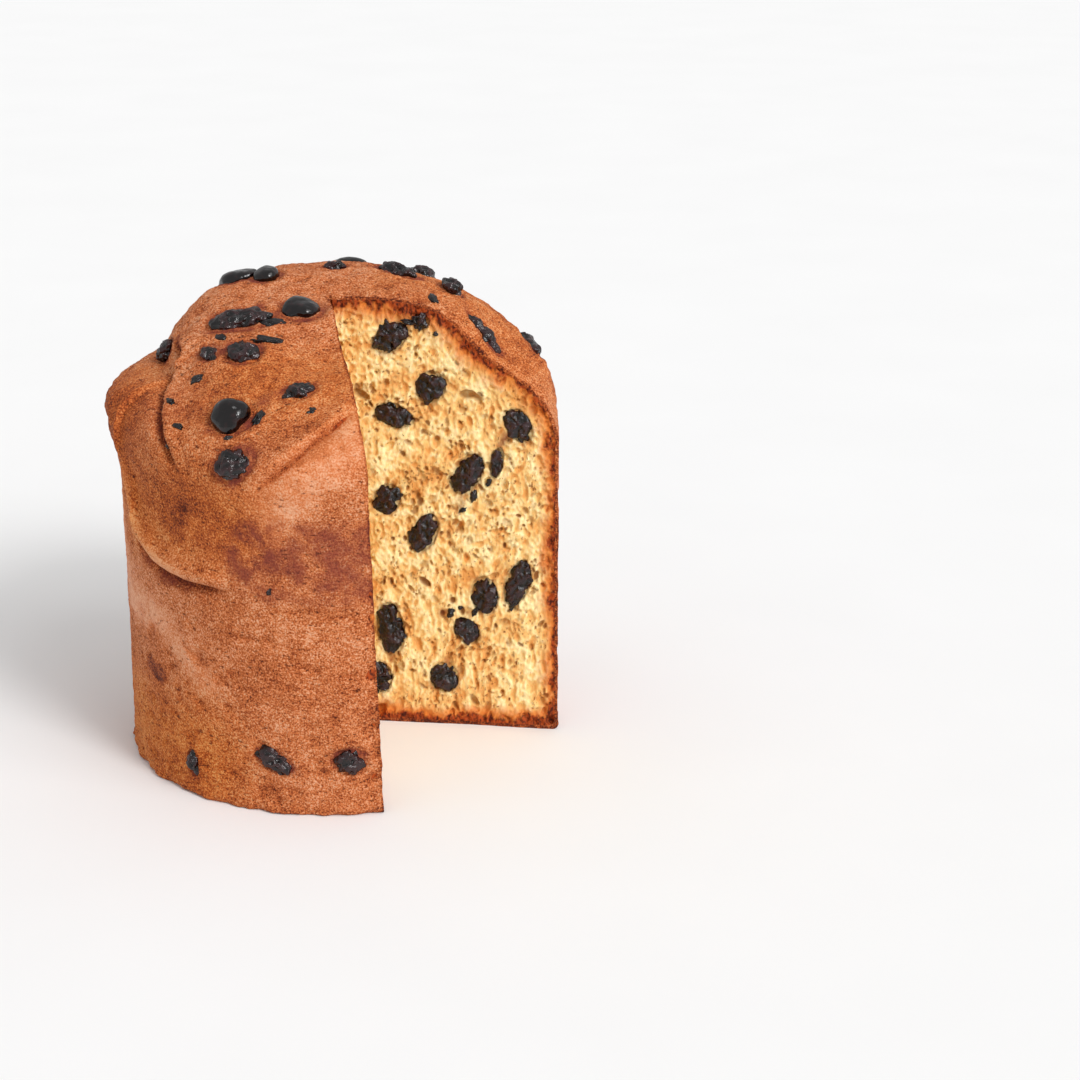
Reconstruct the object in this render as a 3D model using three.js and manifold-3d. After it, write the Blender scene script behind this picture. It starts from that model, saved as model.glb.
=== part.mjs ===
// Tall panettone with one wedge cut out and dark berries in its crumb and crust.
// Millimetres, +Z up. The loaf stands on z = 0 and the cut opens towards the front right.
import * as THREE from 'three';
import { mergeVertices } from 'three/addons/utils/BufferGeometryUtils.js';
import Module from 'manifold-3d';

const wasm = await Module();
wasm.setup();

// The loaf: a round wall as baked in a paper mould, under a domed top.
const MOULD_RADIUS = 77;
const DOME_START = 95;
const DOME_HEIGHT = 64;
const DOME_POWER = 2.35; // 2 is an ellipse, and more makes the shoulder squarer
const CRUST_PER_RADIAN = 70; // mm of crust counted for each radian of the dome
const RIM_ROUND = 2; // rounding of the bottom edge
const AXIS = new THREE.Vector3(1.5, 0.5, 0); // the loaf's axis, seen from the middle of its box

// Steps of the crust's mesh.
const AROUND = 70;
const WALL_STEP = 13.8;
const FOLD_STEP = 5;
const CROWN_STEP = 7.5;
const FOLDS_START = 71;
const FOLDS_END = 151;

// The cut: a front plane that leans a little to the left, and an upright back plane.
const CUT_LINE = new THREE.Vector3(0.6, 8.9, 0); // where both planes meet at the base
const BACK_CUT_ANGLE = -7.4;
const FRONT_CUT_ANGLE = -78.7;
const FRONT_CUT_LEAN = 1.53;
const BLOCK = 400; // size of the block that cuts on one side of a plane, past the loaf all round

// Berries sit in pockets that keep this gap to the bread.
const GAP = 0.3;
const BERRY_LUMPS = 0.09; // unevenness of a berry, as a share of its radius
const CUT_BERRY_RISE = 2.0; // how far a berry stands out of a cut face
const CUT_BERRY_DEPTH = 0.85; // its half thickness, as a share of its half width

// Angles are degrees from +X, from -40 to 320, so that they run on without a jump round the bread.
// s is mm up the crust: the height on the wall, and on over the dome to the crown.
const FIRST_ANGLE = -40;
const CROWN_S = DOME_START + (CRUST_PER_RADIAN * Math.PI) / 2;

// Swellings and hollows of the baked top: middle angle and s, half widths in degrees and mm, height.
const LUMPS = [
  { name: 'back crown', angle: 88, s: 160, wide: 95, tall: 30, height: 12.5 },
  { name: 'back right shoulder', angle: 36, s: 136.5, wide: 30, tall: 18, height: 4.5 },
  { name: 'front slope', angle: 275, s: 166, wide: 62, tall: 26, height: -9 },
  { name: 'front collar', angle: 265, s: 119, wide: 48, tall: 12, height: 6.5 },
  { name: 'left lobe', angle: 192, s: 125, wide: 36, tall: 14, height: 7.5 },
  { name: 'left lobe top', angle: 172, s: 138, wide: 24, tall: 9, height: 1 },
  { name: 'left valley', angle: 187, s: 139, wide: 26, tall: 6, height: -5.5 },
  { name: 'left crown edge', angle: 155, s: 160, wide: 42, tall: 15, height: 3.8 },
  { name: 'right valley', angle: 348, s: 146, wide: 26, tall: 20, height: -14 },
  { name: 'right shelf', angle: 352, s: 112, wide: 30, tall: 8, height: 1 },
  { name: 'right bulge', angle: 17, s: 124, wide: 14, tall: 14, height: 5 },
  { name: 'right top', angle: 348, s: 184, wide: 40, tall: 14, height: -2.5 },
  { name: 'right crown edge', angle: 36, s: 162, wide: 26, tall: 15, height: -1.3 },
];
const CROWN_FADE = [182, 23]; // the lumps fade out from this s over this length

// Folds of the crust, as [angle, s] along each: a lip above the line and a groove just under it.
const FOLDS = [
  {
    name: 'left fold', lip: 2.3, groove: -1.7, width: 4.5,
    path: [[128, 108], [150, 114], [175, 120], [196, 118], [203, 109], [205, 98], [210, 87],
      [219, 81], [231, 78.5], [246, 78.5]],
  },
  {
    name: 'crown crack', lip: 1.0, groove: -2.4, width: 3.2,
    path: [[186, 149], [200, 147], [205, 140], [217, 131], [227, 120], [233, 113]],
  },
  {
    name: 'front crease', lip: 0.9, groove: -0.9, width: 3.4,
    path: [[250, 111], [258, 118], [263, 123], [266, 127], [275, 136], [280, 141]],
  },
  {
    name: 'back fold', lip: 2.0, groove: -1.6, width: 4.5,
    path: [[4, 88], [18, 84], [34, 88], [52, 97], [70, 103], [92, 98], [108, 92]],
  },
  {
    name: 'back crack', lip: 1.0, groove: -2.2, width: 3.4,
    path: [[44, 122], [58, 130], [76, 136], [96, 134], [112, 141], [128, 150]],
  },
];
const FOLD_FADE = 9; // degrees over which a fold fades out at each end

// Berries that show on the back cut face: distance out from the cut line, height, half length,
// half width, and how far the long side is turned up from level, in degrees.
const BACK_FACE_BERRIES = [
  [16.5, 145.2, 7.4, 4.3, 42], [28.4, 151.6, 2.9, 2.6, 0], [31.4, 128.2, 6.0, 5.2, 80],
  [18.5, 116.8, 6.3, 4.1, -25], [62.5, 115.1, 6.5, 4.3, -65], [44.2, 96.4, 8.0, 4.6, 62],
  [54.6, 100.7, 6.0, 2.0, 80], [15.0, 86.0, 6.0, 5.0, 70], [28.0, 73.4, 7.6, 4.0, 65],
  [15.2, 36.3, 9.0, 4.7, 95], [50.7, 50.7, 7.0, 4.6, 100], [62.4, 55.9, 8.8, 4.6, 75],
  [43.3, 36.8, 5.7, 4.3, -50], [11.2, 17.2, 5.4, 4.0, 90], [35.0, 18.1, 6.0, 5.4, 60],
];

// Berries on the crust: angle, s, half length, half width, turn, half thickness, and how far the
// middle stands out of the crust. The first one is whole and round, and the others are flatter.
const CRUST_BERRIES = [
  [241.5, 133, 6.4, 6.2, 70, 5.8, 0.6], [247.5, 119.6, 7.2, 4.6, 35, 3.6, -1.2],
  [259, 147, 5.6, 3.9, 40, 3.0, -1.2], [200, 190.5, 6.6, 6.0, 0, 3.8, -0.2],
  [198, 169.4, 10.0, 5.4, 74, 3.6, -0.8], [223, 159.8, 6.1, 5.6, 10, 3.0, -0.8],
  [210.5, 153.4, 3.6, 3.4, 0, 2.6, -1.0], [182.5, 142.6, 4.4, 3.8, 0, 3.2, 0.2],
  [139.5, 172.6, 5.4, 4.6, 0, 3.8, -0.4], [146, 164, 7.4, 4.6, -58, 3.4, -0.4],
  [34, 160.4, 5.6, 3.8, 0, 2.8, 0.4], [60, 169.5, 8.6, 3.8, 0, 3.2, -0.6],
  [95.5, 174.5, 3.6, 3.0, 0, 2.6, -0.6], [11, 149.5, 8.2, 2.3, 57, 2.2, -0.9],
  [230.5, 11.5, 3.6, 1.9, 100, 2.2, -1.2], [255.5, 19.2, 6.0, 3.2, -24, 3.0, -1.9],
  [274.5, 19.8, 4.6, 4.0, 15, 3.2, -2.1],
];

// How many berries the sides that no picture shows get, and how they are spread.
const HIDDEN_FACE_COUNT = 11;
const HIDDEN_DOME_COUNT = 7;
const HIDDEN_LOW_COUNT = 3;
const LEAST_APART = 17;
const FACE_MARGIN = 9; // from a berry's middle to the crust or the cut line
const FAR_SIDE = [12, 172]; // angles of the crust that no picture shows
const DOME_REACH = [112, 172]; // s of its berries on the dome
const LOW_REACH = [9, 34]; // s of its berries low on the wall
const BERRY_HALF_LENGTH = [5.0, 8.6];
const BERRY_HALF_WIDTH = [3.9, 5.2];
const CRUST_BERRY_THICK = [2.8, 4];
const DOME_BERRY_RISE = [-1.4, 0];
const LOW_BERRY_STANDS = 1; // how far a berry low on the wall stands out of it
const FACE_BERRY_TURN = [40, 130];
const CRUST_BERRY_TURN = [-60, 60];

// Seeds of the draws: each berry's own lumps, then the hidden face, the hidden dome and wall.
const LUMP_SEED = 7919;
const FACE_SEED = 11;
const DOME_SEED = 23;
const LOW_SEED = 31;

const breadMaterial = new THREE.MeshStandardMaterial({ color: '#c46f42', roughness: 0.8, metalness: 0 });
const berryMaterial = new THREE.MeshStandardMaterial({ color: '#2b1a1c', roughness: 0.35, metalness: 0 });

const toRadians = THREE.MathUtils.degToRad;
const UP = new THREE.Vector3(0, 0, 1);

// A small seeded generator, so that every run makes the same loaf.
function seededRandom(seed) {
  let state = seed >>> 0;
  return () => {
    state = (Math.imul(state, 1664525) + 1013904223) >>> 0;
    return state / 4294967296;
  };
}

function between(random, [low, high]) {
  return low + (high - low) * random();
}

function smoothStep(value) {
  const t = THREE.MathUtils.clamp(value, 0, 1);
  return t * t * (3 - 2 * t);
}

// Angle in degrees of a point round the axis, in the range that has no jump inside the bread.
function angleOf(x, y) {
  const angle = THREE.MathUtils.radToDeg(Math.atan2(y, x));
  return angle < FIRST_ANGLE ? angle + 360 : angle;
}

// Height and slope of a path of [angle, s] points at one angle, in straight stretches.
function alongPath(path, angle) {
  let k = 1;
  while (k < path.length - 1 && angle > path[k][0]) k += 1;
  const [a0, s0] = path[k - 1];
  const [a1, s1] = path[k];
  const slope = (s1 - s0) / (a1 - a0);
  return { s: s0 + slope * (angle - a0), slope: slope / toRadians(MOULD_RADIUS) };
}

// How far a fold lifts or sinks the crust at one place.
function foldHeight(fold, angle, s) {
  const first = fold.path[0][0];
  const last = fold.path[fold.path.length - 1][0];
  const ends = smoothStep((angle - first) / FOLD_FADE) * smoothStep((last - angle) / FOLD_FADE);
  if (ends === 0) return 0;
  const line = alongPath(fold.path, angle);
  const above = (s - line.s) / Math.hypot(1, line.slope);
  const lip = fold.lip * Math.exp(-(((above - fold.width) / fold.width) ** 2));
  const groove = fold.groove * Math.exp(-(((above + 0.35 * fold.width) / (0.5 * fold.width)) ** 2));
  return ends * (lip + groove);
}

// How far the crust stands out from the plain turned shape at one place.
function crustHeight(angle, s) {
  let height = 0;
  for (const lump of LUMPS) {
    const turn = THREE.MathUtils.euclideanModulo(angle - lump.angle + 180, 360) - 180;
    height += lump.height * Math.exp(-((turn / lump.wide) ** 2) - ((s - lump.s) / lump.tall) ** 2);
  }
  for (const fold of FOLDS) height += foldHeight(fold, angle, s);
  return height * (1 - smoothStep((s - CROWN_FADE[0]) / CROWN_FADE[1]));
}

// The crust's point at an angle and a length up the crust.
function crustPoint(angle, s) {
  const height = crustHeight(angle, s);
  let radius = MOULD_RADIUS + height;
  let z = s;
  if (s < RIM_ROUND) radius -= RIM_ROUND - Math.sqrt(RIM_ROUND ** 2 - (RIM_ROUND - s) ** 2);
  if (s > DOME_START) {
    const rise = Math.min((s - DOME_START) / CRUST_PER_RADIAN, Math.PI / 2);
    const across = (Math.cos(rise) / MOULD_RADIUS) ** DOME_POWER;
    const up = (Math.sin(rise) / DOME_HEIGHT) ** DOME_POWER;
    const reach = (across + up) ** (-1 / DOME_POWER) + height;
    radius = reach * Math.cos(rise);
    z = DOME_START + reach * Math.sin(rise);
  }
  const turn = toRadians(angle);
  return new THREE.Vector3(radius * Math.cos(turn), radius * Math.sin(turn), z);
}

// The lengths up the crust where the mesh has a row, closer together where the folds are.
function crustRows() {
  const rows = [];
  for (let s = RIM_ROUND; s < FOLDS_START; s += WALL_STEP) rows.push(s);
  for (let s = FOLDS_START; s < FOLDS_END; s += FOLD_STEP) rows.push(s);
  for (let s = FOLDS_END; s < CROWN_S; s += CROWN_STEP) rows.push(s);
  return rows;
}

// The uncut loaf: a turned profile whose points are then moved onto the uneven crust.
function loafGeometry() {
  const rows = crustRows();
  const profile = [new THREE.Vector2(0, 0), new THREE.Vector2(MOULD_RADIUS - RIM_ROUND, 0)];
  for (const s of rows) {
    const place = crustPoint(0, s);
    profile.push(new THREE.Vector2(Math.hypot(place.x, place.y), place.z));
  }
  profile.push(new THREE.Vector2(0, DOME_START + DOME_HEIGHT));
  const geometry = new THREE.LatheGeometry(profile, AROUND);
  geometry.rotateX(Math.PI / 2);
  const position = geometry.attributes.position;
  for (let i = 0; i < position.count; i += 1) {
    const row = (i % profile.length) - 2;
    if (row < 0 || row >= rows.length) continue;
    const place = crustPoint(angleOf(position.getX(i), position.getY(i)), rows[row]);
    position.setXYZ(i, place.x, place.y, place.z);
  }
  return geometry;
}

// A closed geometry as a solid that can be cut and joined.
function solidOf(geometry) {
  const bare = geometry.clone();
  bare.deleteAttribute('normal');
  bare.deleteAttribute('uv');
  const merged = mergeVertices(bare, 1e-4);
  const mesh = new wasm.Mesh({
    numProp: 3,
    vertProperties: new Float32Array(merged.attributes.position.array),
    triVerts: new Uint32Array(merged.index.array),
  });
  return new wasm.Manifold(mesh);
}

// A solid back as a geometry.
function geometryOf(solid) {
  const mesh = solid.getMesh();
  const geometry = new THREE.BufferGeometry();
  geometry.setAttribute('position', new THREE.BufferAttribute(mesh.vertProperties, 3));
  geometry.setIndex(new THREE.BufferAttribute(mesh.triVerts, 1));
  geometry.computeVertexNormals();
  return geometry;
}

// The frame of a cut face: its origin, the way out along it, the way up it, and its outward normal.
function cutFace(angle, lean, side) {
  const out = new THREE.Vector3(Math.cos(toRadians(angle)), Math.sin(toRadians(angle)), 0);
  const level = new THREE.Vector3().crossVectors(out, UP).multiplyScalar(side);
  const up = UP.clone().applyAxisAngle(out, toRadians(lean));
  const normal = level.applyAxisAngle(out, toRadians(lean));
  return { origin: CUT_LINE, out, up, normal };
}

const backFace = cutFace(BACK_CUT_ANGLE, 0, 1);
const frontFace = cutFace(FRONT_CUT_ANGLE, FRONT_CUT_LEAN, -1);

// A large block that lies on the outer side of a cut face.
function blockOutside(face) {
  const geometry = new THREE.BoxGeometry(BLOCK, BLOCK, BLOCK);
  geometry.translate(0, 0, BLOCK / 2);
  geometry.applyQuaternion(new THREE.Quaternion().setFromUnitVectors(UP, face.normal));
  geometry.translate(face.origin.x, face.origin.y, face.origin.z);
  return solidOf(geometry);
}

// Where a berry lies on a cut face.
function placeOnFace(face, out, height) {
  const place = face.origin.clone();
  place.addScaledVector(face.out, out);
  place.addScaledVector(face.up, height);
  return { place, up: face.up, normal: face.normal };
}

// Where a berry lies on the crust, with the crust's own up and outward directions.
function placeOnCrust(angle, s) {
  const place = crustPoint(angle, s);
  const across = crustPoint(angle + 1, s).sub(crustPoint(angle - 1, s));
  const up = crustPoint(angle, s + 1).sub(crustPoint(angle, s - 1)).normalize();
  const normal = new THREE.Vector3().crossVectors(across, up).normalize();
  return { place, up, normal };
}

// One uneven berry: half sizes in mm, turned in its face, its middle moved out by rise.
function berryGeometry(spot, half, turn, rise, random, grow) {
  const geometry = new THREE.IcosahedronGeometry(1, 1);
  const waves = [0, 1, 2].map(() => new THREE.Vector3(
    between(random, [1.5, 3.5]), between(random, [1.5, 3.5]), between(random, [0, 6])));
  const position = geometry.attributes.position;
  const point = new THREE.Vector3();
  for (let i = 0; i < position.count; i += 1) {
    point.fromBufferAttribute(position, i);
    let lump = 1;
    lump += BERRY_LUMPS * Math.sin(waves[0].x * point.x + waves[0].y * point.y + waves[0].z);
    lump += BERRY_LUMPS * Math.sin(waves[1].x * point.y + waves[1].y * point.z + waves[1].z);
    lump += BERRY_LUMPS * Math.sin(waves[2].x * point.z + waves[2].y * point.x + waves[2].z);
    point.multiplyScalar(lump).multiply(half);
    point.addScaledVector(point.clone().normalize(), grow);
    position.setXYZ(i, point.x, point.y, point.z);
  }
  geometry.rotateZ(toRadians(turn));
  const right = new THREE.Vector3().crossVectors(spot.up, spot.normal);
  geometry.applyMatrix4(new THREE.Matrix4().makeBasis(right, spot.up, spot.normal));
  const middle = spot.place.clone().addScaledVector(spot.normal, rise);
  geometry.translate(middle.x, middle.y, middle.z);
  return geometry;
}

// All berries, each with its place, half sizes, turn and rise.
const berries = [];

function addBerry(name, spot, half, turn, rise) {
  berries.push({ name, spot, half, turn, rise, seed: LUMP_SEED * (berries.length + 1) });
}

function addFaceBerry(name, face, [out, height, halfLength, halfWidth, turn]) {
  const thick = halfWidth * CUT_BERRY_DEPTH;
  const half = new THREE.Vector3(halfLength, halfWidth, thick);
  addBerry(name, placeOnFace(face, out, height), half, turn, CUT_BERRY_RISE - thick);
}

function addCrustBerry(name, [angle, s, halfLength, halfWidth, turn, thick, rise]) {
  addBerry(name, placeOnCrust(angle, s), new THREE.Vector3(halfLength, halfWidth, thick), turn, rise);
}

function twoDigits(number) {
  return String(number).padStart(2, '0');
}

// Whether a place is far enough from every berry that is there already.
function isFree(place, apart) {
  return berries.every((berry) => berry.spot.place.distanceTo(place) >= apart);
}

BACK_FACE_BERRIES.forEach((row, i) => addFaceBerry(`berry_back_${twoDigits(i + 1)}`, backFace, row));
CRUST_BERRIES.forEach((row, i) => addCrustBerry(`berry_crust_${twoDigits(i + 1)}`, row));

// The hidden cut face gets berries like those of the one that shows.
const faceRandom = seededRandom(FACE_SEED);
for (let found = 0; found < HIDDEN_FACE_COUNT;) {
  const out = between(faceRandom, [FACE_MARGIN, MOULD_RADIUS + CUT_LINE.y]);
  const height = between(faceRandom, [FACE_MARGIN, DOME_START + DOME_HEIGHT]);
  const length = between(faceRandom, BERRY_HALF_LENGTH);
  const width = between(faceRandom, BERRY_HALF_WIDTH);
  const turn = between(faceRandom, FACE_BERRY_TURN);
  const spot = placeOnFace(frontFace, out, height);
  const angle = angleOf(spot.place.x, spot.place.y);
  const edge = crustPoint(angle, DOME_START);
  const inWall = Math.hypot(spot.place.x, spot.place.y) < Math.hypot(edge.x, edge.y) - FACE_MARGIN;
  const rise = Math.atan2(height - DOME_START, Math.hypot(spot.place.x, spot.place.y));
  const above = crustPoint(angle, DOME_START + CRUST_PER_RADIAN * rise);
  const inDome = height < DOME_START || above.z - height > FACE_MARGIN;
  if (inWall && inDome && isFree(spot.place, LEAST_APART)) {
    found += 1;
    addFaceBerry(`berry_front_${twoDigits(found)}`, frontFace, [out, height, length, width, turn]);
  }
}

// The far side of the crust gets berries on the dome and a few low on the wall, as the near side has.
function addHiddenCrustBerries(seed, before, count, reach) {
  const random = seededRandom(seed);
  for (let found = 0; found < count;) {
    const angle = between(random, FAR_SIDE);
    const s = between(random, reach);
    const length = between(random, BERRY_HALF_LENGTH);
    const width = between(random, BERRY_HALF_WIDTH);
    const turn = between(random, CRUST_BERRY_TURN);
    const thick = between(random, CRUST_BERRY_THICK);
    const rise = s > DOME_START ? between(random, DOME_BERRY_RISE) : LOW_BERRY_STANDS - thick;
    if (!isFree(crustPoint(angle, s), LEAST_APART)) continue;
    found += 1;
    const number = twoDigits(before + found);
    addCrustBerry(`berry_crust_${number}`, [angle, s, length, width, turn, thick, rise]);
  }
}
const shownOnCrust = CRUST_BERRIES.length;
addHiddenCrustBerries(DOME_SEED, shownOnCrust, HIDDEN_DOME_COUNT, DOME_REACH);
addHiddenCrustBerries(LOW_SEED, shownOnCrust + HIDDEN_DOME_COUNT, HIDDEN_LOW_COUNT, LOW_REACH);

// The bread: the loaf without the wedge, with a pocket for each berry.
const wedge = blockOutside(backFace).intersect(blockOutside(frontFace));
let bread = solidOf(loafGeometry()).subtract(wedge);
for (const berry of berries) {
  const random = seededRandom(berry.seed);
  const pocket = berryGeometry(berry.spot, berry.half, berry.turn, berry.rise, random, GAP);
  bread = bread.subtract(solidOf(pocket));
}

const loaf = new THREE.Group();
loaf.position.copy(AXIS);

const breadMesh = new THREE.Mesh(geometryOf(bread), breadMaterial);
breadMesh.name = 'bread';
loaf.add(breadMesh);

for (const berry of berries) {
  const random = seededRandom(berry.seed);
  const geometry = berryGeometry(berry.spot, berry.half, berry.turn, berry.rise, random, 0);
  const mesh = new THREE.Mesh(geometryOf(solidOf(geometry)), berryMaterial);
  mesh.name = berry.name;
  loaf.add(mesh);
}

export default loaf;
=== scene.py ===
"""A tall panettone with one wedge cut out: browned crust, open yellow crumb and dark berries.

Lengths are in millimetres in the classes below, because a baker measures a loaf so, and the
constant MM turns them to metres where a piece is finished. Angles are degrees from +X, and s is the
length up the crust: the height on the wall, and on over the dome to the crown. Places nearer than
NEAR are one place.
"""

import logging
import math
from collections.abc import Callable
from dataclasses import dataclass, field, replace
from enum import Enum
from typing import NamedTuple

import bmesh
import bpy
import numpy as np
from mathutils import Matrix, Vector, kdtree, noise


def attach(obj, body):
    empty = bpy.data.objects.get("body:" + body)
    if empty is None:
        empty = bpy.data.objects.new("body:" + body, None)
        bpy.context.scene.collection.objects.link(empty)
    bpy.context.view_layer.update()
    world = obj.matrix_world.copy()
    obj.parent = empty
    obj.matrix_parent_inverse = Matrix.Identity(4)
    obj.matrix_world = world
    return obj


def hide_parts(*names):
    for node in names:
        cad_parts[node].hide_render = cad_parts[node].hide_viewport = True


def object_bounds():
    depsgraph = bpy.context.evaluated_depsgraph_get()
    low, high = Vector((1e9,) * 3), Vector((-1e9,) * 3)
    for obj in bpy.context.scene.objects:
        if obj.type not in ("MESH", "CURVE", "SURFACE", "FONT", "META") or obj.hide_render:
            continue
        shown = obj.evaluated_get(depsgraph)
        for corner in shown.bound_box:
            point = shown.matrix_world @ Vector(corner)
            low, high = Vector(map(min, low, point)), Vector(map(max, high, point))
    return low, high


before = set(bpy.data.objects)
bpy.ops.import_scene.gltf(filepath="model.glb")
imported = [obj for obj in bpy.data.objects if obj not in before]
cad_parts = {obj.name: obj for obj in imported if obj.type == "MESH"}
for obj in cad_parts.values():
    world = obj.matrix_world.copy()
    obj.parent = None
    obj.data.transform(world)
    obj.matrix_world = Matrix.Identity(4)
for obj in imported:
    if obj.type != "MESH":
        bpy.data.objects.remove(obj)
CAD_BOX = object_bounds()

logging.basicConfig(level=logging.INFO, format="%(message)s")
log = logging.getLogger("panettone")

MM = 0.001
NEAR = 1e-3
ALL_SMOOTH = 180.0
ROOT = "root"


def linear(colour: str) -> tuple[float, float, float, float]:
    """Turns an sRGB hex colour to red, green and blue in linear light, with an alpha of 1."""
    parts = [int(colour[i:i + 2], 16) / 255 for i in (1, 3, 5)]
    turned = [c / 12.92 if c <= 0.04045 else ((c + 0.055) / 1.055) ** 2.4 for c in parts]
    return (*turned, 1.0)


def add_node(tree: bpy.types.NodeTree, kind: str, links: dict | None = None,
             **settings: object) -> bpy.types.Node:
    """Adds one shader node with its settings and links.

    Args:
        tree: the material's node tree.
        kind: the node's type name.
        links: socket name or number to the output that feeds it, or to a plain value.
        settings: attributes of the node.

    Returns:
        The new node.
    """
    node = tree.nodes.new(kind)
    for name, value in settings.items():
        setattr(node, name, value)
    for name, value in (links or {}).items():
        if isinstance(value, bpy.types.NodeSocket):
            tree.links.new(value, node.inputs[name])
        else:
            node.inputs[name].default_value = value
    return node


Socket = bpy.types.NodeSocket


def smooth_step(value: np.ndarray | float) -> np.ndarray:
    """Rises smoothly from 0 to 1 as the value does."""
    t = np.clip(value, 0.0, 1.0)
    return t * t * (3 - 2 * t)


def new_object(name: str, mesh: bpy.types.Mesh) -> bpy.types.Object:
    """Puts a mesh in the scene as a named object at the origin."""
    made = bpy.data.objects.new(name, mesh)
    bpy.context.scene.collection.objects.link(made)
    return made


def mesh_from(bm: bmesh.types.BMesh, name: str) -> bpy.types.Mesh:
    """Writes a bmesh out as a smooth-shaded mesh of that name and frees it."""
    mesh = bpy.data.meshes.new(name)
    for face in bm.faces:
        face.smooth = True
    bm.to_mesh(mesh)
    bm.free()
    return mesh


def numbers_of(rows: bpy.types.bpy_prop_collection, name: str, wide: int) -> np.ndarray:
    """Reads numbers of that name from a mesh's collection, as many to a row as wide says."""
    flat = np.empty(len(rows) * wide, np.float32)
    rows.foreach_get(name, flat)
    return flat.reshape(-1, wide).astype(float)


def points_of(mesh: bpy.types.Mesh) -> np.ndarray:
    """The mesh's vertices, one row each, in the unit the mesh is in."""
    return numbers_of(mesh.vertices, "co", 3)


def move_points(mesh: bpy.types.Mesh, points: np.ndarray) -> None:
    """Moves the mesh's vertices to new places, one row each, in the unit the mesh is in."""
    mesh.vertices.foreach_set("co", points.astype(np.float32).ravel())
    mesh.update()


def waves_at(points: np.ndarray, size: float, octaves: int, seed: int) -> np.ndarray:
    """Seeded noise at places, the same from every side.

    Args:
        points: places in mm, one row each.
        size: the width of the largest waves in mm.
        octaves: how many finer waves are laid over them.
        seed: moves the pattern to another part of the noise.

    Returns:
        One number for each place, mostly between -1 and 1.
    """
    shift = Vector((13.7, 7.1, 3.3)) * seed
    return np.array([noise.fractal(Vector(p) + shift, 1.0, 2.0, octaves)
                     for p in (points / size).tolist()])


def set_attribute(mesh: bpy.types.Mesh, name: str, values: np.ndarray) -> None:
    """Writes one number of that name for each vertex, for a material to read."""
    layer = mesh.attributes.get(name) or mesh.attributes.new(name, "FLOAT", "POINT")
    layer.data.foreach_set("value", values.astype(np.float32))


def carve(target: bpy.types.Object, tool: bpy.types.Object, operation: str) -> None:
    """Cuts or trims one closed mesh by another, and takes the other out of the scene.

    Args:
        target: the object that is changed.
        tool: the closed object that cuts it.
        operation: DIFFERENCE or INTERSECT.
    """
    cut = target.modifiers.new("carve", "BOOLEAN")
    cut.solver = "MANIFOLD"
    cut.operation = operation
    cut.object = tool
    keep_modified(target)
    mesh = tool.data
    bpy.data.objects.remove(tool)
    bpy.data.meshes.remove(mesh)


def keep_modified(target: bpy.types.Object) -> None:
    """Applies the object's modifiers to its mesh."""
    graph = bpy.context.evaluated_depsgraph_get()
    mesh = bpy.data.meshes.new_from_object(target.evaluated_get(graph))
    old = target.data
    target.modifiers.clear()
    target.data = mesh
    bpy.data.meshes.remove(old)


def finish_piece(piece: bpy.types.Object, material: bpy.types.Material,
                 crease: float, nodes: tuple[str, ...] = ()) -> None:
    """Turns a piece to metres, dresses it and ties it to the frame.

    Args:
        piece: the piece, still in mm.
        material: its finish.
        crease: the angle in degrees past which an edge is shown sharp.
        nodes: the solids that it stands for.
    """
    move_points(piece.data, points_of(piece.data) * MM)
    piece.data.set_sharp_from_angle(angle=math.radians(crease))
    piece.data.materials.clear()
    piece.data.materials.append(material)
    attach(piece, ROOT)
    if nodes:
        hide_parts(*nodes)
    piece.data.calc_loop_triangles()
    log.info("%s: %d triangles", piece.name, len(piece.data.loop_triangles))


class Mark(NamedTuple):
    """An oval on the crust or on a face: its place, half sizes, turn in degrees and strength.

    Its place is an angle and an s on the crust, or how far it is out and up on a face.
    """

    across: float
    up: float
    long: float
    wide: float
    turn: float
    strength: float = 1.0


def oval(across: np.ndarray, up: np.ndarray, long: float, wide: float, turn: float) -> np.ndarray:
    """The square of how far out places are in an oval: 1 on its outline, at mm from its middle."""
    c, n = math.cos(math.radians(turn)), math.sin(math.radians(turn))
    return ((across * c + up * n) / long) ** 2 + ((up * c - across * n) / wide) ** 2


@dataclass(frozen=True)
class Lump:
    """A swelling of the baked top, or a hollow where its height is negative."""

    name: str
    angle: float
    s: float
    wide: float
    tall: float
    height: float


@dataclass(frozen=True)
class Fold:
    """A fold or crack of the crust: a lip above its path and a groove just under it."""

    name: str
    lip: float
    groove: float
    width: float
    path: tuple[tuple[float, float], ...]
    crisp_from: float = -40.0


LUMPS = (
    Lump("back crown", 88, 160, 95, 30, 12.5),
    Lump("back right shoulder", 36, 136.5, 30, 18, 4.5),
    Lump("front slope", 275, 166, 62, 26, -9),
    Lump("front collar", 265, 119, 48, 12, 6.5),
    Lump("left lobe", 192, 125, 36, 14, 7.5),
    Lump("left lobe top", 172, 138, 24, 9, 1),
    Lump("left valley", 187, 139, 26, 6, -5.5),
    Lump("left crown edge", 155, 160, 42, 15, 3.8),
    Lump("right valley", 348, 146, 26, 20, -14),
    Lump("right shelf", 352, 112, 30, 8, 1),
    Lump("right bulge", 17, 124, 14, 14, 5),
    Lump("right top", 348, 184, 40, 14, -2.5),
    Lump("right crown edge", 36, 162, 26, 15, -1.3),
)

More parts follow.
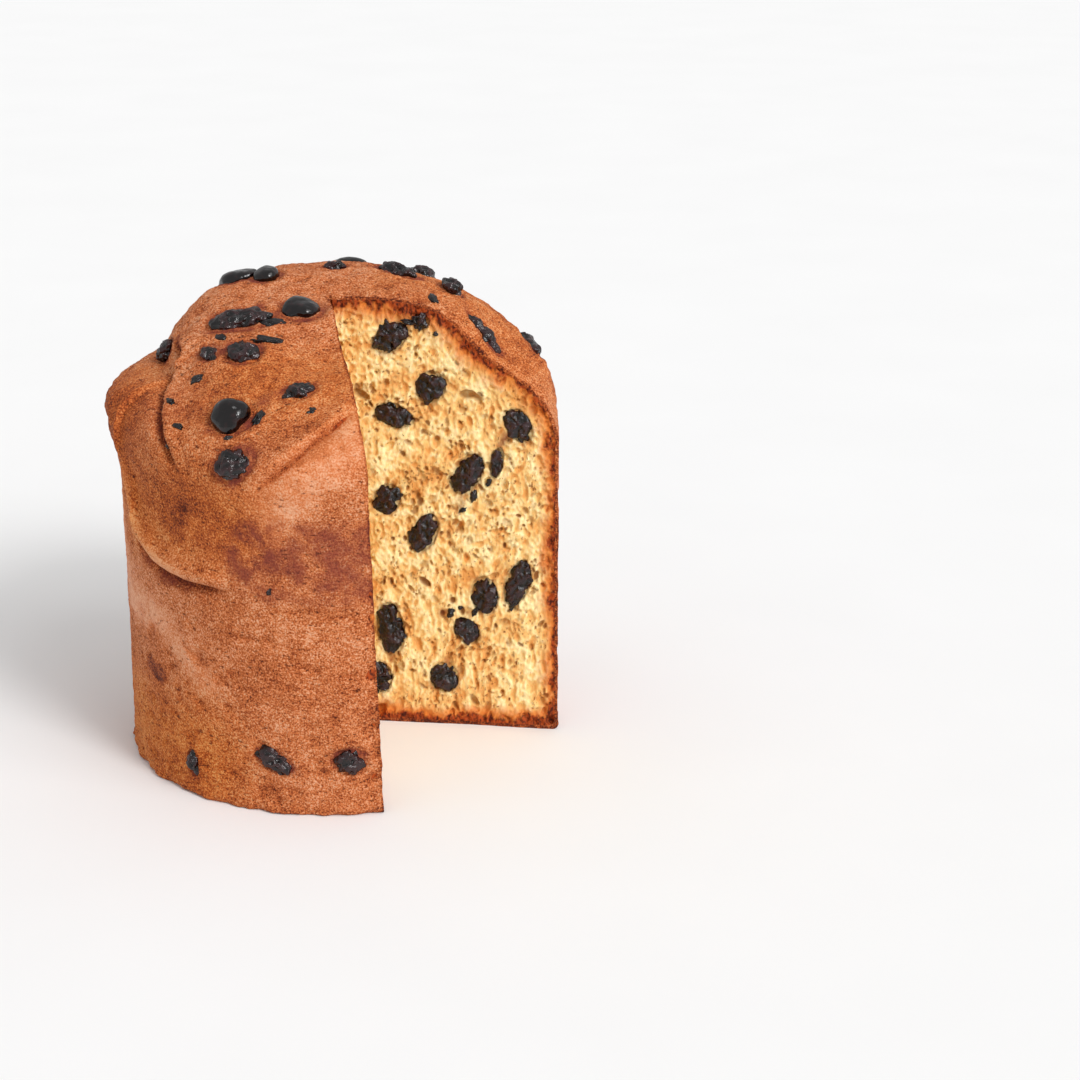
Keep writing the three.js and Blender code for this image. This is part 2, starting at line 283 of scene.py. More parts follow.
FOLDS = (
    Fold("left fold", 2.3, -1.7, 4.5,
         ((128, 108), (150, 114), (175, 120), (196, 118), (203, 109), (205, 98), (210, 87),
          (219, 81), (231, 78.5), (246, 78.5)), crisp_from=204),
    Fold("crown crack", 1.0, -2.4, 3.2,
         ((186, 149), (200, 147), (205, 140), (217, 131), (227, 120), (233, 113))),
    Fold("front crease", 0.9, -0.9, 3.4,
         ((250, 111), (258, 118), (263, 123), (266, 127), (275, 136), (280, 141))),
    Fold("back fold", 2.0, -1.6, 4.5,
         ((4, 88), (18, 84), (34, 88), (52, 97), (70, 103), (92, 98), (108, 92))),
    Fold("back crack", 1.0, -2.2, 3.4,
         ((44, 122), (58, 130), (76, 136), (96, 134), (112, 141), (128, 150))),
)


@dataclass(frozen=True)
class LoafForm:
    """The baked form that every piece is shaped to, with the sizes of the solid model."""

    mould_radius: float = 77.0
    dome_start: float = 95.0
    dome_height: float = 64.0
    dome_power: float = 2.35
    crust_per_radian: float = 70.0
    rim_round: float = 2.0
    axis: tuple[float, float] = (1.5, 0.5)
    first_angle: float = -40.0
    crown_fade: tuple[float, float] = (182.0, 23.0)
    fold_fade: float = 9.0
    lumps: tuple[Lump, ...] = LUMPS
    folds: tuple[Fold, ...] = FOLDS

    @property
    def crown_s(self) -> float:
        """The length up the crust at which it reaches the crown."""
        return self.dome_start + self.crust_per_radian * math.pi / 2

    def angle_of(self, x: np.ndarray, y: np.ndarray) -> np.ndarray:
        """Angle round the axis of a place measured from it, with its jump inside the cut."""
        angle = np.degrees(np.arctan2(y, x))
        return np.where(angle < self.first_angle, angle + 360, angle)

    def reach(self, rise: np.ndarray | float) -> np.ndarray | float:
        """How far the plain dome is from the middle of its base at a rise in radians."""
        across = (np.cos(rise) / self.mould_radius) ** self.dome_power
        up = (np.sin(rise) / self.dome_height) ** self.dome_power
        return (across + up) ** (-1 / self.dome_power)

    def fold_height(self, fold: Fold, angle: np.ndarray, s: np.ndarray) -> np.ndarray:
        """How far one fold lifts or sinks the crust.

        Args:
            fold: the fold.
            angle: angles in degrees.
            s: lengths up the crust.

        Returns:
            Heights in mm.
        """
        angles = np.array([p[0] for p in fold.path], float)
        lengths = np.array([p[1] for p in fold.path], float)
        ends = smooth_step((angle - angles[0]) / self.fold_fade)
        ends = ends * smooth_step((angles[-1] - angle) / self.fold_fade)
        slopes = np.diff(lengths) / np.diff(angles) / math.radians(self.mould_radius)
        stretch = np.clip(np.searchsorted(angles, angle) - 1, 0, len(slopes) - 1)
        above = (s - np.interp(angle, angles, lengths)) / np.hypot(1, slopes[stretch])
        lip = fold.lip * np.exp(-((above - fold.width) / fold.width) ** 2)
        groove = fold.groove * np.exp(-((above + 0.35 * fold.width) / (0.5 * fold.width)) ** 2)
        return ends * (lip + groove)

    def height(self, angle: np.ndarray, s: np.ndarray) -> np.ndarray:
        """How far the crust stands out from the plain turned shape.

        Args:
            angle: angles in degrees.
            s: lengths up the crust.

        Returns:
            Heights in mm.
        """
        total = np.zeros(np.broadcast(angle, s).shape)
        for lump in self.lumps:
            turn = (angle - lump.angle + 180) % 360 - 180
            total += lump.height * np.exp(-(turn / lump.wide) ** 2
                                          - ((s - lump.s) / lump.tall) ** 2)
        for fold in self.folds:
            total += self.fold_height(fold, angle, s)
        return total * (1 - smooth_step((s - self.crown_fade[0]) / self.crown_fade[1]))

    def point(self, angle: np.ndarray, s: np.ndarray, out: np.ndarray | float = 0.0) -> np.ndarray:
        """The place on the crust at an angle and a length up it.

        Args:
            angle: angles in degrees.
            s: lengths up the crust.
            out: how far outside the crust the place lies.

        Returns:
            Places in mm, with three numbers in the last axis.
        """
        angle, s = np.broadcast_arrays(np.asarray(angle, float), np.asarray(s, float))
        height = self.height(angle, s) + out
        low = np.clip(self.rim_round - s, 0, self.rim_round)
        rim = self.rim_round - np.sqrt(self.rim_round ** 2 - low ** 2)
        rise = np.clip((s - self.dome_start) / self.crust_per_radian, 0, math.pi / 2)
        reach = self.reach(rise) + height
        wall = s < self.dome_start
        radius = np.where(wall, self.mould_radius + height - rim, reach * np.cos(rise))
        z = np.where(wall, s, self.dome_start + reach * np.sin(rise))
        turn = np.radians(angle)
        return np.stack([self.axis[0] + radius * np.cos(turn),
                         self.axis[1] + radius * np.sin(turn), z], -1)

    def place(self, points: np.ndarray) -> tuple[np.ndarray, np.ndarray, np.ndarray]:
        """Where places lie: their angle, their length up the crust, and how deep they are.

        Args:
            points: places in mm, one row each.

        Returns:
            Angles, lengths up the crust, and depths under the crust or over the base.
        """
        x, y, z = points[:, 0] - self.axis[0], points[:, 1] - self.axis[1], points[:, 2]
        angle, radius = self.angle_of(x, y), np.hypot(x, y)
        rise = np.arctan2(np.maximum(z - self.dome_start, 0), radius)
        s = np.where(z < self.dome_start, z, self.dome_start + self.crust_per_radian * rise)
        height = self.height(angle, s)
        wall_depth = self.mould_radius + height - radius
        dome_depth = self.reach(rise) + height - np.hypot(radius, z - self.dome_start)
        depth = np.where(z < self.dome_start, wall_depth, dome_depth)
        return angle, s, np.minimum(depth, z)


@dataclass(frozen=True)
class CutFace:
    """One flat face of the cut, with the way out along it, the way up it and its outward normal."""

    angle: float
    lean: float
    side: float
    line: tuple[float, float] = (0.6, 8.9)
    form: LoafForm = LoafForm()

    @property
    def origin(self) -> Vector:
        """The foot of the line where both faces meet."""
        return Vector((self.line[0] + self.form.axis[0], self.line[1] + self.form.axis[1], 0))

    @property
    def out(self) -> Vector:
        """The way out along the face, level."""
        return Vector((math.cos(math.radians(self.angle)), math.sin(math.radians(self.angle)), 0))

    @property
    def up(self) -> Vector:
        """The way up the face."""
        return Matrix.Rotation(math.radians(self.lean), 3, self.out) @ Vector((0, 0, 1))

    @property
    def normal(self) -> Vector:
        """The way out of the crumb, into the cut."""
        return self.out.cross(self.up) * self.side

    def to_face(self, points: np.ndarray) -> np.ndarray:
        """How far places in mm are out along the face, up it and in front of it."""
        axes = np.array([self.out, self.up, self.normal]).T
        return (points - np.array(self.origin)) @ axes

    def to_loaf(self, numbers: np.ndarray) -> np.ndarray:
        """Places in mm from how far they are out along the face, up it and in front of it."""
        axes = np.array([self.out, self.up, self.normal])
        return numbers @ axes + np.array(self.origin)

    def block(self, name: str, outs: tuple[float, float], ups: tuple[float, float],
              depths: tuple[float, float], step: float, uneven: int,
              stray: Callable[[np.ndarray, np.ndarray], np.ndarray]) -> bpy.types.Object:
        """A closed block along the face, with one large side uneven and the other a single face.

        Args:
            name: the block's name.
            outs: where it starts and ends, out along the face.
            ups: where it starts and ends, up the face.
            depths: where it starts and ends, in front of the face.
            step: the spacing of its points.
            uneven: 0 where its back strays, 1 where its front does.
            stray: how far that side strays, from the numbers out and up.

        Returns:
            The block, in mm.
        """
        wide, tall = outs[1] - outs[0], ups[1] - ups[0]
        bm = bmesh.new()
        bmesh.ops.create_grid(bm, x_segments=round(wide / step), y_segments=round(tall / step),
                              size=0.5)
        bmesh.ops.scale(bm, vec=(wide, tall, 1), verts=bm.verts)
        bmesh.ops.translate(bm, vec=(outs[0] + wide / 2, ups[0] + tall / 2, depths[0]),
                            verts=bm.verts)
        grown = bmesh.ops.extrude_face_region(bm, geom=bm.faces[:])
        moved = [v for v in grown["geom"] if isinstance(v, bmesh.types.BMVert)]
        bmesh.ops.translate(bm, vec=(0, 0, depths[1] - depths[0]), verts=moved)
        even = [face for face in bm.faces
                if all(abs(v.co.z - depths[1 - uneven]) < NEAR for v in face.verts)]
        bmesh.ops.dissolve_faces(bm, faces=even)
        bmesh.ops.recalc_face_normals(bm, faces=bm.faces)
        mesh = mesh_from(bm, name)
        numbers = points_of(mesh)
        side = np.abs(numbers[:, 2] - depths[uneven]) < NEAR
        numbers[side, 2] += stray(numbers[side, 0], numbers[side, 1])
        move_points(mesh, self.to_loaf(numbers))
        if self.side < 0:
            mesh.flip_normals()
        return new_object(name, mesh)


FORM = LoafForm()
BACK_FACE = CutFace(angle=-7.4, lean=0.0, side=1.0)
FRONT_FACE = CutFace(angle=-78.7, lean=1.53, side=-1.0)


def even_noise(shape: tuple[int, int], step: float, size: float, stretch: float,
               seed: int) -> np.ndarray:
    """Smooth seeded noise on a grid, with lumps of one size.

    Args:
        shape: rows up and columns across.
        step: the grid's spacing in mm.
        size: the lumps' width in mm.
        stretch: how many times taller than wide the lumps are.
        seed: the seed of the draw.

    Returns:
        A grid with a mean of 0 and a spread of 1.
    """
    grid = np.random.default_rng(seed).standard_normal(shape)
    up = np.fft.fftfreq(shape[0], step)[:, None] * stretch
    across = np.fft.rfftfreq(shape[1], step)[None, :]
    pitch = np.hypot(up, across) * size
    made = np.fft.irfft2(np.fft.rfft2(grid) * pitch ** 2 * np.exp(-2 * pitch ** 2), s=shape)
    return made / made.std()


@dataclass(frozen=True)
class BerrySpot:
    """A berry's middle and the shape matrix of its outline, in the loaf's or a face's numbers."""

    middle: np.ndarray
    spread: np.ndarray

    def share(self, points: np.ndarray) -> np.ndarray:
        """How far out places lie: 0 at the berry's middle and 1 on its outline."""
        away = points - self.middle
        return np.sqrt(np.maximum(np.einsum("ij,jk,ik->i", away, self.spread, away), 0))


def spot_of(points: np.ndarray) -> BerrySpot:
    """The ellipse or ellipsoid that a berry's points fill.

    Args:
        points: the berry's points, one row each, in two or three numbers.

    Returns:
        The spot.
    """
    middle = (points.max(0) + points.min(0)) / 2
    away = points - points.mean(0)
    inverse = np.linalg.inv(np.cov(away.T))
    reach = np.sqrt(np.einsum("ij,jk,ik->i", away, inverse, away)).max()
    return BerrySpot(middle, inverse / reach ** 2)


def berry_nodes(prefix: str, first: int = 1, last: int = 99) -> tuple[str, ...]:
    """The berry nodes whose names start with the prefix and end with these numbers, in order."""
    return tuple(n for n in sorted(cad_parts)
                 if n.startswith(prefix) and first <= int(n[-2:]) <= last)


def berry_points(prefix: str) -> list[np.ndarray]:
    """The points in mm of each berry node whose name starts with the prefix."""
    return [points_of(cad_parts[n].data) / MM for n in berry_nodes(prefix)]


class NodeMaterial:
    """A material under way, with one short method for each kind of node that the finishes use."""

    def __init__(self, name: str) -> None:
        """Starts an empty material of that name that reads places on the object."""
        self.material = bpy.data.materials.new(name)
        self.material.use_nodes = True
        self.tree = self.material.node_tree
        self.tree.nodes.clear()
        self.place = add_node(self.tree, "ShaderNodeTexCoord").outputs["Object"]

    def held(self, *names: str) -> list[Socket]:
        """The numbers of these names that the mesh holds at each vertex."""
        return [add_node(self.tree, "ShaderNodeAttribute", attribute_name=name).outputs["Fac"]
                for name in names]

    def turned(self, lean: float, tall: float) -> Socket:
        """Places leaned by degrees and scaled by tall up and down, to draw a pattern out."""
        return add_node(self.tree, "ShaderNodeMapping", {
            "Vector": self.place, "Rotation": (0, math.radians(lean), 0),
            "Scale": (1, 1, tall)}).outputs[0]

    def noise(self, size_mm: float, detail: float, rough: float,
              place: Socket | None = None) -> Socket:
        """Noise with lumps of a real size, on the object's own places or on turned ones."""
        return add_node(self.tree, "ShaderNodeTexNoise", {
            "Vector": self.place if place is None else place, "Scale": 1 / (size_mm * MM),
            "Detail": detail, "Roughness": rough}).outputs["Fac"]

    def scaled(self, value: Socket, times: Socket | float, plus: Socket | float = 0.0,
               clamp: bool = False) -> Socket:
        """A value times one number and plus another, held between 0 and 1 where it is clamped."""
        return add_node(self.tree, "ShaderNodeMath", {0: value, 1: times, 2: plus},
                        operation="MULTIPLY_ADD", use_clamp=clamp).outputs[0]

    def larger(self, first: Socket, second: Socket) -> Socket:
        """The larger of two values, held between 0 and 1."""
        return add_node(self.tree, "ShaderNodeMath", {0: first, 1: second},
                        operation="MAXIMUM", use_clamp=True).outputs[0]

    def span(self, value: Socket, start: float, end: float, first: float, last: float,
             kind: str = "LINEAR") -> Socket:
        """Goes from first to last while the value goes from start to end."""
        return add_node(self.tree, "ShaderNodeMapRange", {
            "Value": value, "From Min": start, "From Max": end, "To Min": first,
            "To Max": last}, interpolation_type=kind).outputs[0]

    def mix(self, share: Socket, under: Socket | str, over: Socket | str,
            blend: str = "MIX") -> Socket:
        """Lays one colour over another by a share."""
        under, over = (linear(c) if isinstance(c, str) else c for c in (under, over))
        return add_node(self.tree, "ShaderNodeMix", {"Factor": share, 6: under, 7: over},
                        data_type="RGBA", blend_type=blend).outputs[2]

    def ramp(self, value: Socket, first: str, last: str, *between: tuple[float, str]) -> Socket:
        """Colours from the first at 0 to the last at 1, over those at the places between.

        Args:
            value: picks the colour.
            first: the colour at 0.
            last: the colour at 1.
            between: places and their colours.

        Returns:
            The colour.
        """
        node = add_node(self.tree, "ShaderNodeValToRGB", {"Fac": value})
        stops = node.color_ramp.elements
        stops[0].color, stops[1].color = linear(first), linear(last)
        for place, colour in between:
            stops.new(place).color = linear(colour)
        return node.outputs["Color"]

    def bump(self, height: Socket, strength: Socket | float, depth_mm: float) -> Socket:
        """The surface's normal under a relief of that strength and depth."""
        return add_node(self.tree, "ShaderNodeBump", {
            "Height": height, "Strength": strength, "Distance": depth_mm * MM}).outputs[0]

    def shade(self, **sockets: object) -> bpy.types.Material:
        """Ends the material: the shader's sockets are named with _ for a space."""
        links = {name.replace("_", " "): value for name, value in sockets.items()}
        shader = add_node(self.tree, "ShaderNodeBsdfPrincipled", links)
        add_node(self.tree, "ShaderNodeOutputMaterial", {"Surface": shader.outputs[0]})
        return self.material


@dataclass(frozen=True)
class BakedCrust:
    """Baked panettone crust: thin, dry, matte sugar-browned skin with pin pores where gas left it.

    To the eye it is a warm orange-brown, darker on lobes and lips, with purple-brown juice stains;
    shade is painted darker into its pin pores, dents, fold grooves and berry rims.
    """

    name: str = "baked_crust"
    pale: str = "#e3a883"
    plain: str = "#cc7541"
    brown: str = "#9c4a20"
    dark: str = "#4f1d10"
    juice: str = "#80382b"
    amber: str = "#fff0b2"
    grit_mm: float = 0.62
    pit_mm: float = 2.3
    mottle_mm: float = 7.0
    spot_lean: float = -16.0
    spot_flat: float = 2.4
    relief_mm: float = 0.7
    glow_mm: float = 0.8

    def build(self) -> bpy.types.Material:
        """Makes the node material."""
        made = NodeMaterial(self.name)
        bake, stain, sleek, amber = made.held("bake", "stain", "sleek", "amber")
        mottle = made.noise(self.mottle_mm, 4.0, 0.6)
        grit = made.noise(self.grit_mm, 2.0, 0.6)
        spots = made.noise(self.pit_mm, 3.0, 0.55, made.turned(self.spot_lean, self.spot_flat))
        # Painted shade: the pin pores, where the spot noise runs high, take the dark colour, and
        # the tone darkens with the spots that sink the bump.
        pit_shade = made.span(spots, 0.64, 0.71, 0.0, 0.65)
        gritty = made.span(sleek, 0.0, 1.0, 2.0, 1.0)
        tone = made.scaled(made.scaled(grit, 1.0, -0.5), gritty, bake)
        tone = made.scaled(spots, 0.4, made.scaled(mottle, 0.7, tone))
        colour = made.ramp(made.scaled(tone, 1.0, -0.55), self.pale, self.dark,
                           (0.36, self.plain), (0.68, self.brown))
        colour = made.mix(amber, colour, self.amber, "MULTIPLY")
        run = made.scaled(mottle, 3.4, -1.1, clamp=True)
        colour = made.mix(made.scaled(run, stain, clamp=True), colour, self.juice)
        height = made.scaled(pit_shade, -0.8, made.scaled(spots, -1.2, grit))
        depth = made.span(sleek, 0.0, 1.0, 0.9, 0.35)
        return made.shade(
            Base_Color=made.mix(pit_shade, colour, self.dark),
            Roughness=made.span(sleek, 0.0, 1.0, 0.82, 0.55),
            Normal=made.bump(height, depth, self.relief_mm), IOR=1.4, Specular_IOR_Level=0.35,
            Subsurface_Weight=0.05, Subsurface_Radius=(1.0, 0.4, 0.15),
            Subsurface_Scale=self.glow_mm * MM)


@dataclass(frozen=True)
class OpenCrumb:
    """Open crumb of a butter-rich yeast dough: soft, matte, moist strands round gas holes.

    To the eye it is pale yellow with darker holes, turning orange and then brown at the crust; the
    holes' shade and the shade low between strands are painted into its colour.
    """

    name: str = "open_crumb"
    light: str = "#fce5ac"
    plain: str = "#f0c680"
    tan_and_shade: str = "#df9c54"
    hole_shade: str = "#8e5728"
    toast: str = "#d4742a"
    rind: str = "#a8481a"
    rind_dark: str = "#4d1a0c"
    juice: str = "#7a3d2c"
    strand_mm: float = 3.4
    speck_mm: float = 1.0
    broad_mm: float = 11.0
    strand_lean: float = 14.0
    strand_tall: float = 0.6
    relief_mm: float = 0.45
    glow_mm: float = 0.9

    def build(self) -> bpy.types.Material:
        """Makes the node material."""
        made = NodeMaterial(self.name)
        pore_shade, web_shading, deep, stain = made.held("pore_shade", "web_shading", "deep", "stain")
        upright = made.turned(self.strand_lean, self.strand_tall)
        strands = made.noise(self.strand_mm, 5.0, 0.65, upright)
        broad = made.noise(self.broad_mm, 2.0, 0.5)
        fine = made.noise(self.speck_mm, 2.0, 0.5, upright)
        tint = made.scaled(broad, 1.7, made.scaled(strands, 2.4, -1.35))
        # Painted shade: the crumb is lighter on the high strands and darker tan low between them.
        colour = made.ramp(made.scaled(web_shading, -0.6, tint, clamp=True), self.light, self.tan_and_shade,
                           (0.45, self.plain))
        # Painted shade: gas holes, and specks for holes too small for the mesh, take the hole shade
        # colour.
        tiny_pore_shade = made.span(made.scaled(broad, 0.45, fine), 0.88, 0.97, 0.0, 0.85)
        colour = made.mix(made.larger(pore_shade, tiny_pore_shade), colour, self.hole_shade)
        ragged = made.scaled(broad, 9.0, made.scaled(strands, 7.0, deep))
        ragged = made.scaled(ragged, 1.0, -8.0)
        warm = made.span(ragged, 2.6, 7.4, 0.92, 0.0, "SMOOTHSTEP")
        colour = made.mix(warm, colour, self.toast)
        burnt = made.span(fine, 0.38, 0.58, 0.0, 1.0)
        rind = made.mix(burnt, self.rind_dark, self.rind)
        colour = made.mix(made.span(ragged, 1.7, 3.3, 1.0, 0.0, "SMOOTHSTEP"), colour, rind)
        spread = made.scaled(stain, 1.0, made.scaled(strands, 3.0, -1.5), clamp=True)
        return made.shade(
            Base_Color=made.mix(made.scaled(spread, stain), colour, self.juice),
            Roughness=made.span(strands, 0.3, 0.7, 0.7, 0.95),
            Normal=made.bump(made.scaled(strands, 1.5, fine), 0.7, self.relief_mm), IOR=1.4,
            Specular_IOR_Level=0.3, Subsurface_Weight=0.15, Subsurface_Radius=(1.0, 0.5, 0.2),
            Subsurface_Scale=self.glow_mm * MM)


@dataclass(frozen=True)
class BerrySkin:
    """Baked dark berry: wrinkled waxy skin, burst in places, moist with its own syrup.

    To the eye it is nearly black with a purple cast, and it glints on every wrinkle.
    """

    name: str = "baked_berry_skin"
    dark: str = "#080304"
    worn: str = "#35181a"
    grain_mm: float = 0.8
    wrinkle_mm: float = 2.7
    relief_mm: float = 0.3

    def build(self) -> bpy.types.Material:
        """Makes the node material."""
        made = NodeMaterial(self.name)
        gloss, fold = made.held("gloss", "fold")
        grain = made.noise(self.grain_mm, 3.0, 0.6)
        wrinkle = made.noise(self.wrinkle_mm, 1.0, 0.5)
        worn = made.span(made.scaled(fold, 0.35, wrinkle), 0.55, 0.85, 0.0, 0.75)
        rough = made.span(wrinkle, 0.38, 0.6, 0.08, 0.24)
        depth = made.span(gloss, 0.0, 1.0, 1.0, 0.25)
        return made.shade(
            Base_Color=made.mix(worn, self.dark, self.worn),
            Roughness=made.scaled(rough, made.scaled(gloss, -0.5, 1.0)),
            Normal=made.bump(made.scaled(wrinkle, 5.0, grain), depth, self.relief_mm), IOR=1.5,
            Specular_IOR_Level=0.5)


@dataclass(frozen=True)
class Tint:
    """A place or band of the crust that baked darker or paler, smoother, or stained by juice.

    Its path is a row of (angle, s) points, and wide is how far it reaches to either side. A few
    bands
    paint shade or a highlight instead: at the left fold and in the crown crack.
    """

    path: tuple[tuple[float, float], ...]
    wide: float
    bake: float = 0.0
    sleek: float = 0.0
    stain: float = 0.0
    soft: float = 3.0
    amber: float = 0.0

    def share(self, angle: np.ndarray, s: np.ndarray, per_degree: float) -> np.ndarray:
        """How much of the tint places get.

        Args:
            angle: angles in degrees.
            s: lengths up the crust.
            per_degree: mm of crust for each degree.

        Returns:
            1 on its path, falling to 0.
        """
        here = np.stack([angle * per_degree, s], -1)
        path = np.array([(a * per_degree, h) for a, h in self.path])
        nearest = np.full(len(here), np.inf)
        for start, end in zip(path, path[1:] if len(path) > 1 else path):
            along = end - start
            length = max(float(along @ along), 1e-9)
            t = np.clip((here - start) @ along / length, 0, 1)
            nearest = np.minimum(nearest, np.linalg.norm(here - start - t[:, None] * along, axis=1))
        return np.exp(-(nearest / self.wide) ** self.soft)


TINTS = (
    Tint(((254, 90), (281, 90)), 14.0, bake=0.10, sleek=0.15, stain=0.75, soft=8),
    Tint(((233, 98), (252, 96)), 9, bake=0.10, sleek=0.1, stain=0.10),
    Tint(((258, 108), (268, 119), (281, 132)), 9, bake=-0.12, sleek=0.9),
    Tint(((188, 96), (192, 76), (198, 60), (219.5, 60), (229.5, 52), (236, 43.5)),
         6, bake=-0.13, sleek=0.6),
    Tint(((196, 66), (214, 62)), 11, bake=-0.10, sleek=0.5),
    Tint(((213, 42), (218, 40)), 3.5, bake=0.40, sleek=0.4, soft=9),
    # Painted shade: a thin dark line down the crown crack, with some juice stain.
    Tint(((186, 149), (200, 147), (205, 140), (217, 130), (224, 122)), 1.4, bake=0.34, stain=0.5),
    Tint(((184, 120), (206, 124)), 12, bake=0.22, sleek=0.2),
    Tint(((208, 104), (226, 104), (236, 112)), 9, bake=0.10),
    Tint(((215, 128), (232, 138)), 9, bake=0.04, stain=0.16),
    Tint(((247, 133), (249, 140)), 4, bake=0.12, stain=0.75),
    Tint(((228, 101), (240, 106)), 6, bake=0.10),
    # Painted shadow: a darker, purple-stained band in the groove under the left fold's lip.
    Tint(((202, 106), (205, 95), (209.5, 84), (218, 78.5), (230, 76)), 2.4, bake=0.20, stain=0.7),
    # Painted highlight, partly the paler stretched skin: a pale, smooth band along the left fold's
    # lip.
    Tint(((206, 107), (208, 97), (213, 88.5), (221, 84), (231, 81.5)), 2.2, bake=-0.24, sleek=0.6),
    Tint(((196, 14), (232, 14)), 24, bake=-0.05, amber=1.0),
    Tint(((204, 98), (242, 102)), 18, amber=0.8),
    Tint(((190, 128), (200, 126)), 16, amber=0.6),
    Tint(((236, 150), (276, 156)), 22, bake=0.05, amber=0.7),
    Tint(((10, 140), (50, 165)), 26, amber=0.5),
    Tint(((40, 120), (120, 110)), 30, amber=0.5),
    Tint(((248, 150), (266, 158), (280, 162)), 12, bake=0.03),
    Tint(((190, 190), (240, 186)), 10, bake=0.08, sleek=0.1, stain=0.16),
    Tint(((20, 118), (60, 128), (90, 120)), 15, bake=0.14, sleek=0.2, stain=0.08),
    Tint(((80, 84), (112, 80)), 13, bake=0.14, sleek=0.15, stain=0.36, soft=6),
    Tint(((110, 104), (146, 98), (160, 76)), 8, bake=-0.14, sleek=0.7),
    Tint(((30, 62), (52, 48), (70, 30)), 7, bake=-0.12, sleek=0.6),
    Tint(((12, 36), (16, 35)), 5, bake=0.3, soft=2),
    Tint(((130, 40), (136, 38)), 4.5, bake=0.3, soft=2),
)


@dataclass
class WedgeCut:
    """The knife's cut: the closed tool that takes the wedge out, the height it spans, and how far
    the knife strayed from its planes.
    """

    ups: tuple[float, float] = (-4.0, 176.0)
    past: float = 140.0
    step: float = 1.2
    wave: float = 0.28
    nick: float = 0.14

    def stray(self, out: np.ndarray, up: np.ndarray) -> np.ndarray:
        """How far the knife strayed in front of its plane at places on a face."""
        broad = np.sin(out / 9.1 + 0.8 * np.sin(up / 13.7)) * np.cos(up / 17.3 + 0.5)
        close = np.sin(out / 1.9 + 2.0 * np.sin(up / 2.7)) * np.sin(up / 2.3 + np.sin(out / 3.1))
        return self.wave * broad + self.nick * close

    def wedge(self) -> bpy.types.Object:
        """Makes the wedge that was taken out.

        Returns:
            A closed helper object, in mm.
        """
        reach = (-self.past, self.past)
        made = BACK_FACE.block("wedge", reach, self.ups, (0, self.past), self.step, 0, self.stray)
        side = FRONT_FACE.block("side", reach, self.ups, (0, self.past), self.step, 0, self.stray)
        carve(made, side, "INTERSECT")
        return made


@dataclass(frozen=True)
class DentRule:
    """The rule that the skin's small dents are drawn by, with spans from least to most."""

    count: int = 1200
    angles: tuple[float, float] = (-40, 320)
    low_share: float = 0.7
    low: tuple[float, float] = (3, 56)
    high: tuple[float, float] = (40, 188)
    small_share: float = 0.8
    small: tuple[float, float] = (0.8, 1.7)
    large: tuple[float, float] = (1.8, 3.4)
    flatness: tuple[float, float] = (0.35, 0.6)
    mean_turn: float = -12
    turn_spread: float = 22
    depth: tuple[float, float] = (0.3, 0.75)
    large_deeper: float = 1.3

    def draw(self, random: np.random.Generator) -> list[Mark]:
        """Draws the dents.

        Args:
            random: the seeded generator.

        Returns:
            The dents, with their depth in mm as their strength.
        """
        drawn = []
        for _ in range(self.count):
            s = random.uniform(*(self.low if random.random() < self.low_share else self.high))
            small = random.random() < self.small_share
            length = random.uniform(*(self.small if small else self.large))
            drawn.append(Mark(
                random.uniform(*self.angles), s, length, length * random.uniform(*self.flatness),
                random.normal(self.mean_turn, self.turn_spread),
                random.uniform(*self.depth) * (1 if small else self.large_deeper)))
        return drawn


@dataclass(frozen=True)
class ChipRule:
    """The rule for where the skin chipped under the knife, along both cut edges."""

    count: int = 110
    edges: tuple[float, float] = (281.0, -7.0)
    stray: float = 0.4
    s: tuple[float, float] = (3, 176)
    size: tuple[float, float] = (0.7, 1.7)
    taller: float = 1.3
    depth: float = 0.55

    def draw(self, random: np.random.Generator) -> list[tuple[float, float, float]]:
        """Draws the angle, the s and the size in mm of each chip."""
        return [(self.edges[k % 2] + random.normal(0, self.stray), random.uniform(*self.s),
                 random.uniform(*self.size)) for k in range(self.count)]


